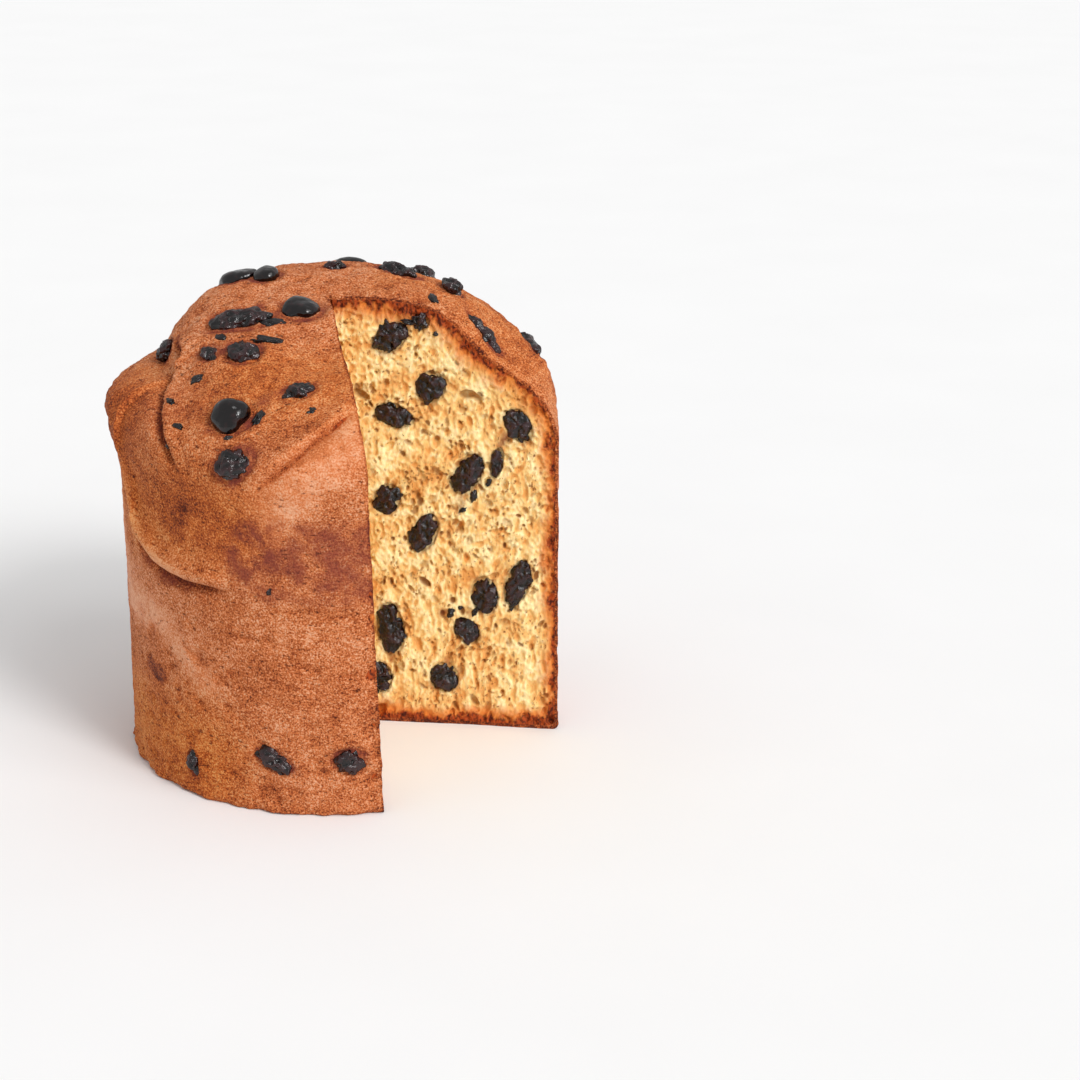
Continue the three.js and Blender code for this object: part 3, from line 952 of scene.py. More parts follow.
@dataclass
class LoafCrust:
    """The browned outside: a turned loaf moved onto the baked form, cut, and hollowed there.

    Wrinkles are larger where s is past high, over the second length. The hem at the base has a
    reach, a size of waves, a lift and a raggedness. Each ring round a berry has its height, the
    share of the berry's outline that it stands at, and its width.
    """

    form: LoafForm = FORM
    cut: WedgeCut = field(default_factory=WedgeCut)
    finish: BakedCrust = field(default_factory=BakedCrust)
    around: int = 486
    row: float = 0.97
    crease: float = 42.0
    rind: float = 1.3
    tray_outs: tuple[float, float] = (-3.0, 96.0)
    tray_depths: tuple[float, float] = (-9.0, 6.0)
    tray_step: float = 8.0
    inner: tuple[int, float] = (220, 2.0)
    sunk: float = 0.15
    high: tuple[float, float] = (100.0, 30.0)
    hem: tuple[float, float, float, float] = (2.6, 7.0, 0.6, 1.7)
    rings: tuple[tuple[float, float, float], ...] = ((0.35, 1.45, 0.22), (-0.5, 1.06, 0.14))
    bed: float = 0.9
    plain_bake: float = 0.40
    crack: tuple[float, float, float] = (0.9, -1.8, 0.55)
    broad: tuple[float, float] = (15.0, 0.42)
    wrinkle: tuple[float, float] = (4.2, 0.26)
    grain: tuple[float, float] = (1.7, 0.13)
    tears: tuple[Mark, ...] = (
        Mark(252, 7.7, 2.6, 1.1, -12, 0.9), Mark(275.5, 51, 2.2, 0.8, 10, 0.6),
        Mark(247, 62.7, 7.5, 0.6, -4, 0.45), Mark(261, 73.5, 8.0, 0.6, 3, 0.5),
        Mark(273, 72, 6.5, 0.55, 8, 0.5), Mark(232, 52, 8.5, 0.9, -38, 0.6))
    dents: DentRule = DentRule()
    chips: ChipRule = ChipRule()
    full_dent: float = 0.5
    worn: float = 0.15
    crisp_over: float = 6.0
    seed: int = 4

    def turned(self, name: str, out: float, base: float, around: int,
               row: float) -> bpy.types.Object:
        """A closed loaf, turned from its profile and moved onto the baked form.

        Args:
            name: the object's name.
            out: how far outside the form it lies.
            base: the height of its base.
            around: how many steps it has around.
            row: the height of a row in mm.

        Returns:
            The loaf, in mm.
        """
        form = self.form
        flat = form.mould_radius - form.rim_round
        profile = [(r, 0.0) for r in np.linspace(0, flat, 9)]
        rises = [form.rim_round * (1 - math.cos(t)) for t in (0.5, 1.0)]
        wall = np.linspace(form.rim_round, form.dome_start, round(form.dome_start / row))
        profile += [(form.mould_radius, z) for z in (*rises, *wall)]
        steps = round((form.crown_s - form.dome_start) / row)
        for rise in np.linspace(0, math.pi / 2, steps + 1)[1:]:
            reach = form.reach(rise)
            profile.append((reach * math.cos(rise), form.dome_start + reach * math.sin(rise)))
        bm = bmesh.new()
        x, y = form.axis
        verts = [bm.verts.new((x + r, y, z)) for r, z in profile]
        edges = [bm.edges.new(pair) for pair in zip(verts, verts[1:])]
        bmesh.ops.spin(bm, geom=verts + edges, cent=(x, y, 0), axis=(0, 0, 1), dvec=(0, 0, 0),
                       angle=2 * math.pi, steps=around, use_merge=True, use_normal_flip=False,
                       use_duplicate=False)
        bmesh.ops.remove_doubles(bm, verts=bm.verts, dist=NEAR)
        bmesh.ops.recalc_face_normals(bm, faces=bm.faces)
        mesh = mesh_from(bm, name)
        points = points_of(mesh)
        angle, s, _ = form.place(points)
        radius = np.hypot(points[:, 0] - x, points[:, 1] - y)
        crust = (points[:, 2] > NEAR) | (radius > flat - NEAR)
        points[crust] = form.point(angle[crust], s[crust], out)
        low = points[:, 2] < form.dome_start
        points[low, 2] = base + points[low, 2] * (1 - base / form.dome_start)
        move_points(mesh, points)
        return new_object(name, mesh)

    def crisp(self, fold: Fold, angle: np.ndarray) -> np.ndarray:
        """How crisp a fold is at each angle, from little where it is worn round to 1."""
        fresh = smooth_step((angle - fold.crisp_from) / self.crisp_over)
        return self.worn + (1 - self.worn) * fresh

    def relief(self, base: np.ndarray, angle: np.ndarray,
               s: np.ndarray) -> tuple[np.ndarray, np.ndarray]:
        """How far the skin stands out of the baked form, and how deep its dents are.

        Args:
            base: places on the baked form, in mm.
            angle: their angles.
            s: their lengths up the crust.

        Returns:
            Heights in mm, and the share of dent at each place.
        """
        high = smooth_step((s - self.high[0]) / self.high[1])
        out = -self.sunk + self.broad[1] * waves_at(base, self.broad[0], 2, 1)
        wrinkle = waves_at(base * (1, 1, 1.35), self.wrinkle[0], 3, 2)
        out += self.wrinkle[1] * (0.75 + 1.3 * high) * wrinkle
        out += self.grain[1] * waves_at(base * (1, 1, 1.5), self.grain[0], 2, 3)
        reach, size, lift, ragged = self.hem
        out += np.exp(-(s / reach) ** 2) * (lift + ragged * waves_at(base, size, 3, 5))
        for fold in self.form.folds:
            lip, groove, slim = self.crack
            sharp = replace(fold, lip=lip, groove=groove, width=slim * fold.width)
            out += self.crisp(fold, angle) * self.form.fold_height(sharp, angle, s)
        tree = kdtree.KDTree(len(base))
        for i, place in enumerate(base.tolist()):
            tree.insert(place, i)
        tree.balance()
        random = np.random.default_rng(self.seed)
        dent = np.zeros(len(base))
        per_degree = math.radians(self.form.mould_radius)
        for a0, s0, long, wide, turn, depth in (*self.dents.draw(random), *self.tears):
            middle = self.form.point(np.array([a0]), np.array([s0]))[0]
            near = np.array([i for _, i, _ in tree.find_range(middle, 2.2 * long)], int)
            if not len(near):
                continue
            spoke = math.hypot(middle[0] - self.form.axis[0], middle[1] - self.form.axis[1])
            across = (angle[near] - a0) * math.radians(spoke)
            share = np.exp(-oval(across, s[near] - s0, long, wide, turn))
            out[near] -= depth * share
            dent[near] = np.maximum(dent[near], share * min(depth / self.full_dent, 1.0))
        chips = self.chips
        for a0, s0, size in chips.draw(random):
            q = ((angle - a0) * per_degree / size) ** 2 + ((s - s0) / (size * chips.taller)) ** 2
            share = np.exp(-q)
            out -= chips.depth * size * share
            dent = np.maximum(dent, share)
        return out, dent

    def berry_share(self, points: np.ndarray, spots: list[BerrySpot]) -> np.ndarray:
        """How near places are to a berry: 1 on its outline, less inside and more outside."""
        nearest = np.full(len(points), 9.0)
        for spot in spots:
            close = np.linalg.norm(points - spot.middle, axis=1) < 20
            nearest[close] = np.minimum(nearest[close], spot.share(points[close]))
        return nearest

    def dress(self, mesh: bpy.types.Mesh, spots: list[BerrySpot]) -> None:
        """Writes how the crust baked, with shade painted darker into fold grooves, dents and berry
        rims, how smooth it is and where juice stained it.

        Args:
            mesh: the cut crust, in mm.
            spots: the berries that sit in the crust.
        """
        points = points_of(mesh)
        angle, s, _ = self.form.place(points)
        per_degree = math.radians(self.form.mould_radius)
        bake = np.full(len(points), self.plain_bake)
        sleek, stain, amber = (np.zeros(len(points)) for _ in range(3))
        for tint in TINTS:
            share = tint.share(angle, s, per_degree)
            bake += tint.bake * share
            sleek += tint.sleek * share
            stain += tint.stain * share
            amber += tint.amber * share
        # Painted shade: every fold's groove is darker, partly browner crust and partly crease
        # shade, and its lip a little paler.
        folds = sum(self.crisp(fold, angle) * self.form.fold_height(
            replace(fold, width=self.crack[2] * fold.width), angle, s) for fold in self.form.folds)
        bake += 0.28 * np.maximum(-folds, 0) - 0.02 * np.maximum(folds, 0)
        bake += 0.16 * np.exp(-(s / 3.0) ** 2)
        bake += 0.10 * waves_at(points, 22.0, 2, 7)
        # Painted shade: the skin is darker in its dents and knife chips.
        bake += 0.24 * numbers_of(mesh.attributes["dent"].data, "value", 1)[:, 0]
        for face in (BACK_FACE, FRONT_FACE):
            numbers = face.to_face(points)
            cut = smooth_step((0.9 - np.abs(numbers[:, 2])) / 0.6) * (numbers[:, 0] > 0)
            bake += cut * (0.30 + 0.30 * waves_at(points, 2.5, 2, 9))
        q = self.berry_share(points, spots)
        gap = np.maximum(q - 1 - 0.25 * waves_at(points, 5.0, 2, 8), 0)
        stain = np.maximum(stain, 0.9 * np.exp(-(gap / 0.22) ** 1.3))
        # Painted shade: a dark ring in the groove just outside each berry.
        bake += 0.30 * np.exp(-((q - 1.03) / 0.10) ** 2)
        set_attribute(mesh, "bake", np.clip(bake, 0, 1.2))
        for name, share in (("sleek", sleek), ("stain", stain), ("amber", amber)):
            set_attribute(mesh, name, np.clip(share, 0, 1))

    def build(self) -> bpy.types.Object:
        """Makes the crust.

        Returns:
            The piece, which stands for the bread.
        """
        made = self.turned("crust", 0.0, 0.0, self.around, self.row)
        mesh = made.data
        base = points_of(mesh)
        angle, s, _ = self.form.place(base)
        out, dent = self.relief(base, angle, s)
        spots = [spot_of(p) for p in berry_points("berry_crust")]
        q = self.berry_share(base, spots)
        for lift, share, wide in self.rings:
            out += lift * np.exp(-((q - share) / wide) ** 2)
        out -= self.bed * np.clip(1 - q, 0, 1)
        radius = np.hypot(base[:, 0] - self.form.axis[0], base[:, 1] - self.form.axis[1])
        skin = (base[:, 2] > NEAR) | (radius > self.form.mould_radius - self.form.rim_round - NEAR)
        foot = base[:, 2] < NEAR
        base[skin] = self.form.point(angle[skin], s[skin], out[skin])
        base[foot, 2] = 0.0
        low, high = (np.array(corner) / MM for corner in CAD_BOX)
        move_points(mesh, np.clip(base, low, high))
        set_attribute(mesh, "dent", np.where(skin, dent, 0))
        carve(made, self.cut.wedge(), "DIFFERENCE")
        for face in (BACK_FACE, FRONT_FACE):
            tray = face.block("tray", self.tray_outs, self.cut.ups, self.tray_depths,
                              self.tray_step, 1, lambda out, up: 0 * out)
            carve(tray, self.turned("inner", -self.rind, self.rind, *self.inner), "INTERSECT")
            carve(made, tray, "DIFFERENCE")
        self.dress(made.data, spots)
        made.data.attributes.remove(made.data.attributes["dent"])
        finish_piece(made, self.finish.build(), self.crease, ("bread",))
        return made


@dataclass(frozen=True)
class PoreRule:
    """The rule that gas holes are drawn by: one in so many is a window, wide and shallow.

    Wide is the mean and the spread of the logarithm of a small hole's half width. Lean is how far
    neighbours lean together, in degrees, and upturn how far holes past its s stand over. The tone,
    the window shade and the shade power set how dark the shade painted into each hole is.
    """

    window_every: int = 40
    window_wide: tuple[float, float] = (0.9, 1.7)
    window_longest: float = 1.6
    window_depth: float = 0.8
    window_shade: float = 0.35
    wide: tuple[float, float] = (-0.95, 0.5)
    longest: float = 2.3
    depth: tuple[float, float] = (0.8, 1.8)
    tone: tuple[float, float] = (0.15, 1.0)
    shade_power: float = 1.4
    lean: tuple[float, float] = (25, 30)
    upturn: tuple[float, float, float] = (40, 60, 60)
    crowding: tuple[float, float] = (-0.5, 0.8)
    crowd_mm: float = 16.0
    lean_mm: float = 14.0


@dataclass
class CrumbFace:
    """One cut face of crumb: a slab with torn strands and gas holes, set in the crust's tray.

    Each of its waves has a size in mm and how many times taller than wide it is.
    """

    name: str
    face: CutFace
    berries: str
    crust: LoafCrust
    material: bpy.types.Material
    step: float
    pore_count: int
    seed: int
    thick: float = 8.9
    lap: float = 0.15
    trim: tuple[int, float] = (260, 1.6)
    crease: float = 80.0
    outs: tuple[float, float] = (-3.0, 87.0)
    ups: tuple[float, float] = (-1.0, 168.0)
    top_toast: float = 0.35
    low_toast: float = 0.25
    smears: tuple[Mark, ...] = ()
    rule: PoreRule = PoreRule()
    upright: tuple[float, float] = (3.6, 2.2)
    level: tuple[float, float] = (3.8, 1.2)
    fine: tuple[float, float] = (1.5, 1.3)
    broad: tuple[float, float] = (9.0, 1.5)
    upright_until: tuple[float, float] = (78, 50)
    heights: tuple[float, float, float, float] = (0.36, 0.14, 0.10, 0.18)
    juice: float = 0.5
    juice_reach: tuple[float, float] = (0.45, 0.5)
    berry_bed: float = 1.3
    sunk: float = 0.12

    def grids(self) -> tuple[np.ndarray, np.ndarray]:
        """The places of the slab's points, out along the face and up it."""
        across = round((self.outs[1] - self.outs[0]) / self.step)
        tall = round((self.ups[1] - self.ups[0]) / self.step)
        return np.meshgrid(np.linspace(*self.outs, across + 1), np.linspace(*self.ups, tall + 1))

    def sample(self, grid: np.ndarray, out: np.ndarray, up: np.ndarray) -> np.ndarray:
        """Reads a grid at places between its points.

        Args:
            grid: numbers at the places of grids().
            out: places out along the face.
            up: places up the face.

        Returns:
            One number for each place.
        """
        rows, columns = grid.shape
        x = np.clip((out - self.outs[0]) / (self.outs[1] - self.outs[0]) * (columns - 1),
                    0, columns - 1.001)
        y = np.clip((up - self.ups[0]) / (self.ups[1] - self.ups[0]) * (rows - 1), 0, rows - 1.001)
        i, j = x.astype(int), y.astype(int)
        fx, fy = x - i, y - j
        low = grid[j, i] * (1 - fx) + grid[j, i + 1] * fx
        high = grid[j + 1, i] * (1 - fx) + grid[j + 1, i + 1] * fx
        return low * (1 - fy) + high * fy

    def strands(self, out: np.ndarray, up: np.ndarray) -> np.ndarray:
        """The torn webs of the crumb, upright low down and even higher up.

        Args:
            out: places out along the face.
            up: places up the face.

        Returns:
            Heights in mm.
        """
        shape = out.shape
        upright, level, fine, broad = (
            even_noise(shape, self.step, *waves, self.seed + k)
            for k, waves in enumerate((self.upright, self.level, self.fine, self.broad)))
        low = smooth_step((self.upright_until[0] - up) / self.upright_until[1])
        webs = low * upright + (1 - low) * level
        ridge, slope, fine_height, broad_height = self.heights
        return (ridge * (0.7 - np.abs(webs)) + slope * webs + fine_height * fine
                + broad_height * broad)

    def pores(self, out: np.ndarray, up: np.ndarray) -> tuple[np.ndarray, np.ndarray]:
        """Draws the gas holes.

        Args:
            out: places out along the face.
            up: places up the face.

        Returns:
            How deep the holes are in mm, and the share of painted hole shade.
        """
        random = np.random.default_rng(self.seed + 4)
        depth, colour = np.zeros(out.shape), np.zeros(out.shape)
        rule = self.rule
        density = even_noise(out.shape, self.step, rule.crowd_mm, 1.0, self.seed + 5)
        lean = even_noise(out.shape, self.step, rule.lean_mm, 1.0, self.seed + 7)
        for k in range(self.pore_count):
            u, v = random.uniform(*self.outs), random.uniform(*self.ups)
            window = k % rule.window_every == 0
            wide = random.uniform(*rule.window_wide) if window else random.lognormal(*rule.wide)
            tall = wide * random.uniform(1.0, rule.window_longest if window else rule.longest)
            here = self.sample(lean, np.array([u]), np.array([v]))[0]
            over, start, span = rule.upturn
            turn = over * smooth_step((v - start) / span)
            turn -= random.normal(rule.lean[0] * here, rule.lean[1])
            i = int((u - self.outs[0]) / self.step)
            j = int((v - self.ups[0]) / self.step)
            crowd = self.sample(density, np.array([u]), np.array([v]))[0]
            if crowd < random.normal(*rule.crowding):
                continue
            n = int(2.4 * tall / self.step) + 1
            part = np.s_[max(j - n, 0):j + n + 1, max(i - n, 0):i + n + 1]
            q = oval(out[part] - u, up[part] - v, wide, tall, turn)
            bowl = np.sqrt(np.clip(1 - q, 0, 1))
            deep = rule.window_depth if window else random.uniform(*rule.depth) * wide
            depth[part] = np.maximum(depth[part], deep * bowl)
            tone = rule.window_shade
            if not window:
                tone = random.uniform(*rule.tone) ** rule.shade_power
            colour[part] = np.maximum(colour[part], tone * smooth_step(1.5 * (1.15 - q)))
        return depth, colour

    def stains(self, out: np.ndarray, up: np.ndarray,
               spots: list[BerrySpot]) -> tuple[np.ndarray, np.ndarray]:
        """Where juice ran into the crumb, and the dip of the crumb round each berry.

        Args:
            out: places out along the face.
            up: places up the face.
            spots: the berries of the face.

        Returns:
            The share of stain, and the dip in mm.
        """
        stain, dip = np.zeros(out.shape), np.zeros(out.shape)
        ragged = even_noise(out.shape, self.step, 3.2, 1.3, self.seed + 6)
        flat = np.stack([out.ravel(), up.ravel()], -1)
        for spot in spots:
            q = spot.share(flat).reshape(out.shape)
            gap = np.maximum(q - 1, 0) * 5.0
            reach = self.juice_reach[0] + self.juice_reach[1] * ragged.clip(-0.7, 2.5)
            stain = np.maximum(stain, self.juice * np.exp(-(gap / reach) ** 2))
            dip = np.maximum(dip, self.berry_bed * smooth_step((0.97 - q) / 0.14))
        for u, v, long, wide, turn, strength in self.smears:
            q = oval(out - u, up - v, long, wide, turn)
            stain = np.maximum(stain, strength * np.exp(-q * (1 - 0.25 * ragged)))
        return stain, dip

    def build(self) -> bpy.types.Object:
        """Makes the crumb face.

        Returns:
            The piece.
        """
        out, up = self.grids()
        spots = [spot_of(self.face.to_face(p)[:, :2]) for p in berry_points(self.berries)]
        depth, pore_shade_share = self.pores(out, up)
        stain, dip = self.stains(out, up, spots)
        places = self.face.to_loaf(np.stack([out.ravel(), up.ravel(), 0 * out.ravel()], -1))
        under = self.crust.form.place(places)[2].reshape(out.shape)
        calm = smooth_step((under - 0.6) / 2.0)
        strands = self.strands(out, up)
        height = self.crust.cut.stray(out, up) + calm * (strands - depth - dip - self.sunk)

        def stray(u: np.ndarray, v: np.ndarray) -> np.ndarray:
            """The height of the crumb at places on the face."""
            return self.sample(height, u, v)

        made = self.face.block(self.name, self.outs, self.ups, (-self.thick, 0), self.step, 1,
                               stray)
        under_rind = self.crust.rind - self.lap
        inner = self.crust.turned("inner", -under_rind, under_rind, *self.trim)
        carve(made, inner, "INTERSECT")
        points = points_of(made.data)
        numbers = self.face.to_face(points)
        front = smooth_step((numbers[:, 2] + 4) / 1.5)
        under = self.crust.form.place(points)[2]
        # The share of painted shade in each gas hole.
        set_attribute(made.data, "pore_shade", front * self.sample(pore_shade_share, numbers[:, 0], numbers[:, 1]))
        set_attribute(made.data, "stain", front * self.sample(stain, numbers[:, 0], numbers[:, 1]))
        # The strands' height, from which the material paints shade low between them.
        web_shading = smooth_step(0.5 + 1.1 * self.sample(strands, numbers[:, 0], numbers[:, 1]))
        set_attribute(made.data, "web_shading", web_shading)
        under *= 1 - self.top_toast * smooth_step((points[:, 2] - 90) / 40)
        under *= 1 - self.low_toast * smooth_step((14 - points[:, 2]) / 10)
        set_attribute(made.data, "deep", under)
        finish_piece(made, self.material, self.crease)
        return made


CUT_EDGES = (3.4, 2.2)
BACK_SMEARS = (
    Mark(57.9, 110.1, 5.5, 2.2, 60, 0.8), Mark(40.6, 86.5, 6.0, 2.4, 62, 0.6),
    Mark(53.5, 99.0, 6.5, 3.4, 65, 0.5), Mark(24.0, 60.0, 4.0, 2.0, 60, 0.3),
    Mark(34.9, 43.8, 2.4, 1.8, 0, 0.7), Mark(41.5, 84.5, 5.0, 1.6, 60, 0.7),
    Mark(45.2, 44.5, 6.0, 2.8, 60, 0.55), Mark(28.0, 112.0, 4.0, 1.5, -20, 0.35))


class Skin(Enum):
    """How a berry's skin came out of the oven."""

    WRINKLED = 1
    WHOLE = 2


@dataclass
class BerryGroup:
    """The berries of one part of the loaf: rounded from the solids, wrinkled, and dark.

    Folds, bumps, swellings and ragged edges each have a size and a height.
    """

    name: str
    nodes: tuple[str, ...]
    material: bpy.types.Material
    whole: tuple[str, ...] = ()
    moist: float = 0.0
    levels: int = 3
    plump: float = 1.06
    ragged: tuple[float, float] = (4.5, 1.3)
    folds: tuple[float, float] = (3.8, 1.1)
    bumps: tuple[float, float] = (1.5, 0.35)
    swell: tuple[float, float] = (5.0, 0.30)
    face: CutFace | None = None
    proud: float = 1.2
    seed: int = 60

    def skin_of(self, node: str) -> Skin:
        """How one berry's skin came out."""
        return Skin.WHOLE if node in self.whole else Skin.WRINKLED

    def build(self) -> bpy.types.Object:
        """Makes the group.

        Returns:
            The piece, which stands for the berry nodes.
        """
        bm = bmesh.new()
        layer = bm.verts.layers.float.new("berry")
        middles = []
        for k, node in enumerate(self.nodes):
            before = len(bm.verts)
            bm.from_mesh(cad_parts[node].data)
            bm.verts.ensure_lookup_table()
            new = bm.verts[before:]
            bmesh.ops.scale(bm, vec=(1 / MM,) * 3, verts=new)
            middle = sum((v.co for v in new), Vector()) / len(new)
            bmesh.ops.scale(bm, vec=(self.plump,) * 3, verts=new,
                            space=Matrix.Translation(-middle))
            for vert in new:
                vert[layer] = k
            middles.append(middle)
        bmesh.ops.remove_doubles(bm, verts=bm.verts, dist=NEAR)
        made = new_object(self.name, mesh_from(bm, self.name))
        rounding = made.modifiers.new("rounding", "SUBSURF")
        rounding.levels = rounding.render_levels = self.levels
        keep_modified(made)
        mesh = made.data
        points = points_of(mesh)
        if self.face:
            numbers = self.face.to_face(points)
            flat = self.proud * (1 - np.exp(-np.maximum(numbers[:, 2], 0) / self.proud))
            numbers[:, 2] = np.where(numbers[:, 2] > 0, flat, numbers[:, 2])
            points = self.face.to_loaf(numbers)
            move_points(mesh, points)
        normals = numbers_of(mesh.vertex_normals, "vector", 3)
        which = np.rint(numbers_of(mesh.attributes["berry"].data, "value", 1)[:, 0]).astype(int)
        whole = np.array([self.skin_of(n) is Skin.WHOLE for n in self.nodes])[which]
        away = points - np.array([list(m) for m in middles])[which]
        local = away + which[:, None] * 31.0
        folds = waves_at(local, self.folds[0], 2, self.seed)
        bumps = waves_at(local, self.bumps[0], 2, self.seed + 1)
        wrinkled = self.folds[1] * (0.2 - np.abs(folds)) + self.bumps[1] * bumps
        smooth = self.swell[1] * waves_at(local, self.swell[0], 2, self.seed + 2)
        points += normals * np.where(whole, smooth, wrinkled)[:, None]
        edges = self.ragged[1] * waves_at(local, self.ragged[0], 3, self.seed + 3)
        spoke = away / np.linalg.norm(away, axis=1)[:, None]
        if self.face:
            ahead = np.array(self.face.normal)
            spoke -= (spoke @ ahead)[:, None] * ahead
        points += spoke * np.where(whole, 0.1, 1.0)[:, None] * edges[:, None]
        low, high = (np.array(corner) / MM for corner in CAD_BOX)
        move_points(mesh, np.clip(points, low, high))
        set_attribute(mesh, "gloss", np.where(whole, 1.0, self.moist))
        set_attribute(mesh, "fold", np.where(whole, 0.0, smooth_step(1 - 2.2 * np.abs(folds))))
        mesh.attributes.remove(mesh.attributes["berry"])
        finish_piece(made, self.material, ALL_SMOOTH, self.nodes)
        return made


@dataclass
class BerryScraps:
    """Small torn bits of berry on the crust and on the back cut face."""

    material: bpy.types.Material
    name: str = "berry_scraps"
    on_crust: tuple[tuple[float, ...], ...] = (
        (250, 135, 3.6, 1.5, 80), (265.5, 138.7, 1.9, 1.5, 60), (211.5, 178.4, 5.6, 2.0, 48),
        (225, 170, 5.4, 1.9, 36), (219, 133, 2.1, 1.4, -10), (226.5, 120.8, 1.3, 0.9, 20),
        (218, 143, 2.6, 1.9, 50), (227.5, 127, 2.0, 1.0, 10), (18.5, 170, 3.0, 1.7, 0),
        (255.5, 80, 1.2, 0.9, 70), (206, 160, 2.2, 1.5, 20), (216, 152, 2.0, 1.2, -20),
        (244, 126.5, 1.5, 1.1, 40), (96, 150, 4.0, 1.4, 30), (130, 128, 3.0, 1.6, -30),
        (60, 142, 2.4, 1.6, 10), (150, 148, 3.4, 1.3, 70), (40, 100, 2.0, 1.3, 0))
    on_face: tuple[tuple[float, ...], ...] = (
        (23.5, 151.5, 2.4, 0.9, -10), (33.5, 147.5, 1.0, 0.8, 0), (46.5, 88.5, 2.2, 1.2, 80),
        (42.5, 83.0, 1.6, 0.8, 30), (37.8, 43.8, 2.2, 1.3, 70), (46.8, 44.6, 1.8, 1.0, 60),
        (41.2, 45.8, 0.9, 0.7, 0), (60.2, 47.2, 1.8, 0.9, 70), (9.6, 11.5, 1.4, 0.9, 90),
        (21.5, 110.3, 0.8, 0.6, 0), (52.0, 93.8, 1.4, 0.9, 60))
    thick: float = 1.0

    def scrap(self, bm: bmesh.types.BMesh, place: np.ndarray, up: np.ndarray, normal: np.ndarray,
              half: tuple[float, float], turn: float, seed: int) -> None:
        """Adds one bit: a small ball made flat, ragged and turned onto its place.

        Args:
            bm: the bmesh that it is added to.
            place: its place in mm.
            up: the way up the surface there.
            normal: the way out of the surface there.
            half: its half length and half width.
            turn: how far its long side is turned up from level, in degrees.
            seed: picks its shape.
        """
        ball = bmesh.ops.create_icosphere(bm, subdivisions=4, radius=1.0)["verts"]
        for vert in ball:
            lump = noise.fractal(vert.co * 1.3 + Vector((seed * 3.1, 0, 0)), 1.0, 2.0, 3)
            vert.co *= 1 + 0.45 * lump
        bmesh.ops.scale(bm, vec=(half[0], half[1], min(self.thick, half[1])), verts=ball)
        bmesh.ops.rotate(bm, verts=ball, matrix=Matrix.Rotation(math.radians(turn), 3, "Z"))
        up, normal = Vector(up).normalized(), Vector(normal).normalized()
        basis = Matrix((up.cross(normal), up, normal)).transposed().to_4x4()
        bmesh.ops.transform(bm, matrix=Matrix.Translation(place) @ basis, verts=ball)

    def build(self) -> bpy.types.Object:
        """Makes the scraps.

        Returns:
            The piece.
        """
        bm = bmesh.new()
        for k, (angle, s, long, wide, turn) in enumerate(self.on_crust):
            near = FORM.point(np.array([angle, angle + 1, angle - 1, angle, angle]),
                              np.array([s, s, s, s + 1, s - 1]), -0.35)
            up, across = near[3] - near[4], near[1] - near[2]
            self.scrap(bm, near[0], up, np.cross(across, up), (long, wide), turn, k)
        for k, (out, up, long, wide, turn) in enumerate(self.on_face):
            place = BACK_FACE.to_loaf(np.array([[out, up, -0.1]]))[0]
            self.scrap(bm, place, BACK_FACE.up, BACK_FACE.normal, (long, wide), turn, 40 + k)
        bmesh.ops.recalc_face_normals(bm, faces=bm.faces)
        made = new_object(self.name, mesh_from(bm, self.name))
        set_attribute(made.data, "gloss", np.zeros(len(made.data.vertices)))
        set_attribute(made.data, "fold", np.zeros(len(made.data.vertices)))
        finish_piece(made, self.material, ALL_SMOOTH)
        return made


@dataclass(frozen=True)
class StudioPaper:
    """Matt white background paper: rolled, unglazed, with a barely visible tooth."""

    name: str = "studio_paper"
    white: str = "#f4f4f4"
    shade: str = "#f0f0f0"
    tooth_mm: float = 1000 / 12

    def build(self) -> bpy.types.Material:
        """Makes the node material."""
        made = NodeMaterial(self.name)
        tooth = made.noise(self.tooth_mm, 2.0, 0.5)
        return made.shade(Base_Color=made.mix(tooth, self.white, self.shade), Roughness=0.9,
                          Specular_IOR_Level=0.1)


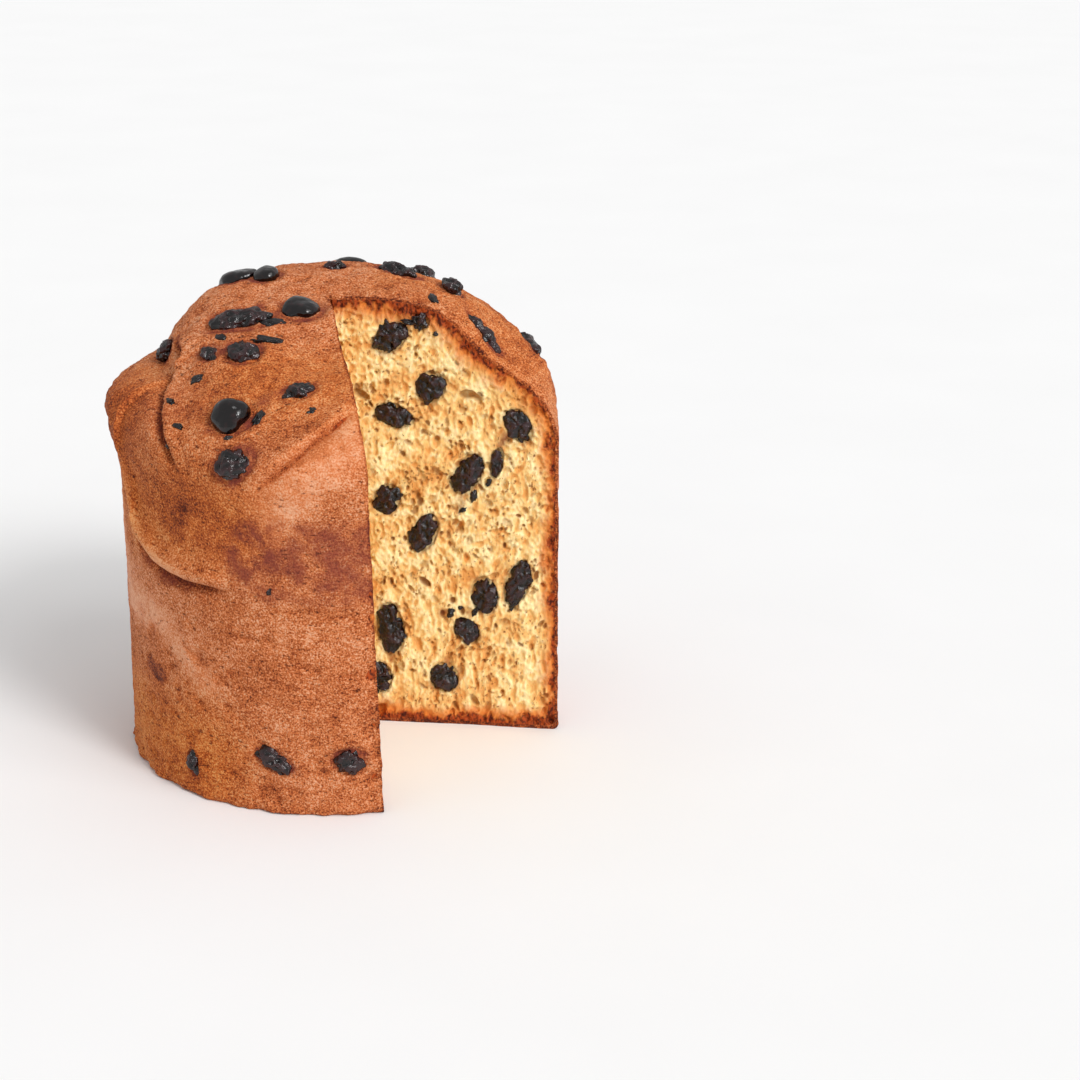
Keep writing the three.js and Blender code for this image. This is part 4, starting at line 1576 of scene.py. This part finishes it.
@dataclass
class Studio:
    """The plain pale floor, the soft lights and the camera at the photograph's angle."""

    floor_size: float = 14.0
    lens: float = 89.35
    eye: tuple[float, float, float] = (71.9, -907.3, 382.2)
    target: tuple[float, float, float] = (71.89, 0.5, 72.83)
    keys: tuple[tuple[tuple[float, float, float], float, float], ...] = (
        ((0.60, -0.56, 0.62), 44.0, 1.10), ((0.52, -0.64, 0.60), 16.0, 1.30))
    fill: float = 0.63

    def build(self) -> None:
        """Makes the floor, the lights and the camera."""
        scene = bpy.context.scene
        scene.view_settings.view_transform = "Standard"
        bm = bmesh.new()
        bmesh.ops.create_grid(bm, x_segments=4, y_segments=4, size=self.floor_size / 2)
        floor = new_object("floor", mesh_from(bm, "floor"))
        floor.data.materials.append(StudioPaper().build())
        world = bpy.data.worlds.new("studio")
        world.use_nodes = True
        sky = world.node_tree.nodes["Background"]
        sky.inputs["Color"].default_value = (1, 1, 1, 1)
        sky.inputs["Strength"].default_value = self.fill
        scene.world = world
        for coming_from, spread, power in self.keys:
            key = bpy.data.lights.new("key", "SUN")
            key.angle, key.energy = math.radians(spread), power
            lamp = bpy.data.objects.new("key", key)
            lamp.location = Vector(coming_from)
            lamp.rotation_euler = Vector(coming_from).to_track_quat("Z", "Y").to_euler()
            scene.collection.objects.link(lamp)
        camera = bpy.data.cameras.new("camera")
        camera.lens, camera.sensor_width = self.lens, 36.0
        camera.clip_start, camera.clip_end = 0.01, 50.0
        view = bpy.data.objects.new("camera", camera)
        view.location = Vector(self.eye) * MM
        look = Vector(self.target) - Vector(self.eye)
        view.rotation_euler = look.to_track_quat("-Z", "Y").to_euler()
        scene.collection.objects.link(view)
        scene.camera = view


def main() -> None:
    """Builds the studio and every piece in order, and notes the sizes."""
    Studio().build()
    crust = LoafCrust()
    crust.build()
    crumb = OpenCrumb().build()
    CrumbFace("crumb_back_face", BACK_FACE, "berry_back", crust, crumb, step=0.37,
              pore_count=3300, seed=100, smears=BACK_SMEARS).build()
    CrumbFace("crumb_front_face", FRONT_FACE, "berry_front", crust, crumb, step=0.45,
              pore_count=3300, seed=200).build()
    berries = BerrySkin().build()
    shown = berry_nodes("berry_crust", last=14)
    wall = berry_nodes("berry_crust", 15, 17)
    far = berry_nodes("berry_crust", 18)
    back, front = berry_nodes("berry_back"), berry_nodes("berry_front")
    sleek = tuple(f"berry_crust_{k:02d}" for k in (1, 4, 9, 10))
    BerryGroup("berries_crust", shown, berries, sleek, moist=0.3).build()
    BerryGroup("berries_wall", wall, berries, plump=1.3, seed=65).build()
    BerryGroup("berries_far_crust", far, berries, ("berry_crust_20",), moist=0.5,
               seed=70).build()
    BerryGroup("berries_back_face", back, berries, ragged=CUT_EDGES, face=BACK_FACE,
               seed=80).build()
    BerryGroup("berries_front_face", front, berries, ragged=CUT_EDGES, face=FRONT_FACE,
               seed=90).build()
    BerryScraps(berries).build()


if __name__ == "__main__":
    main()
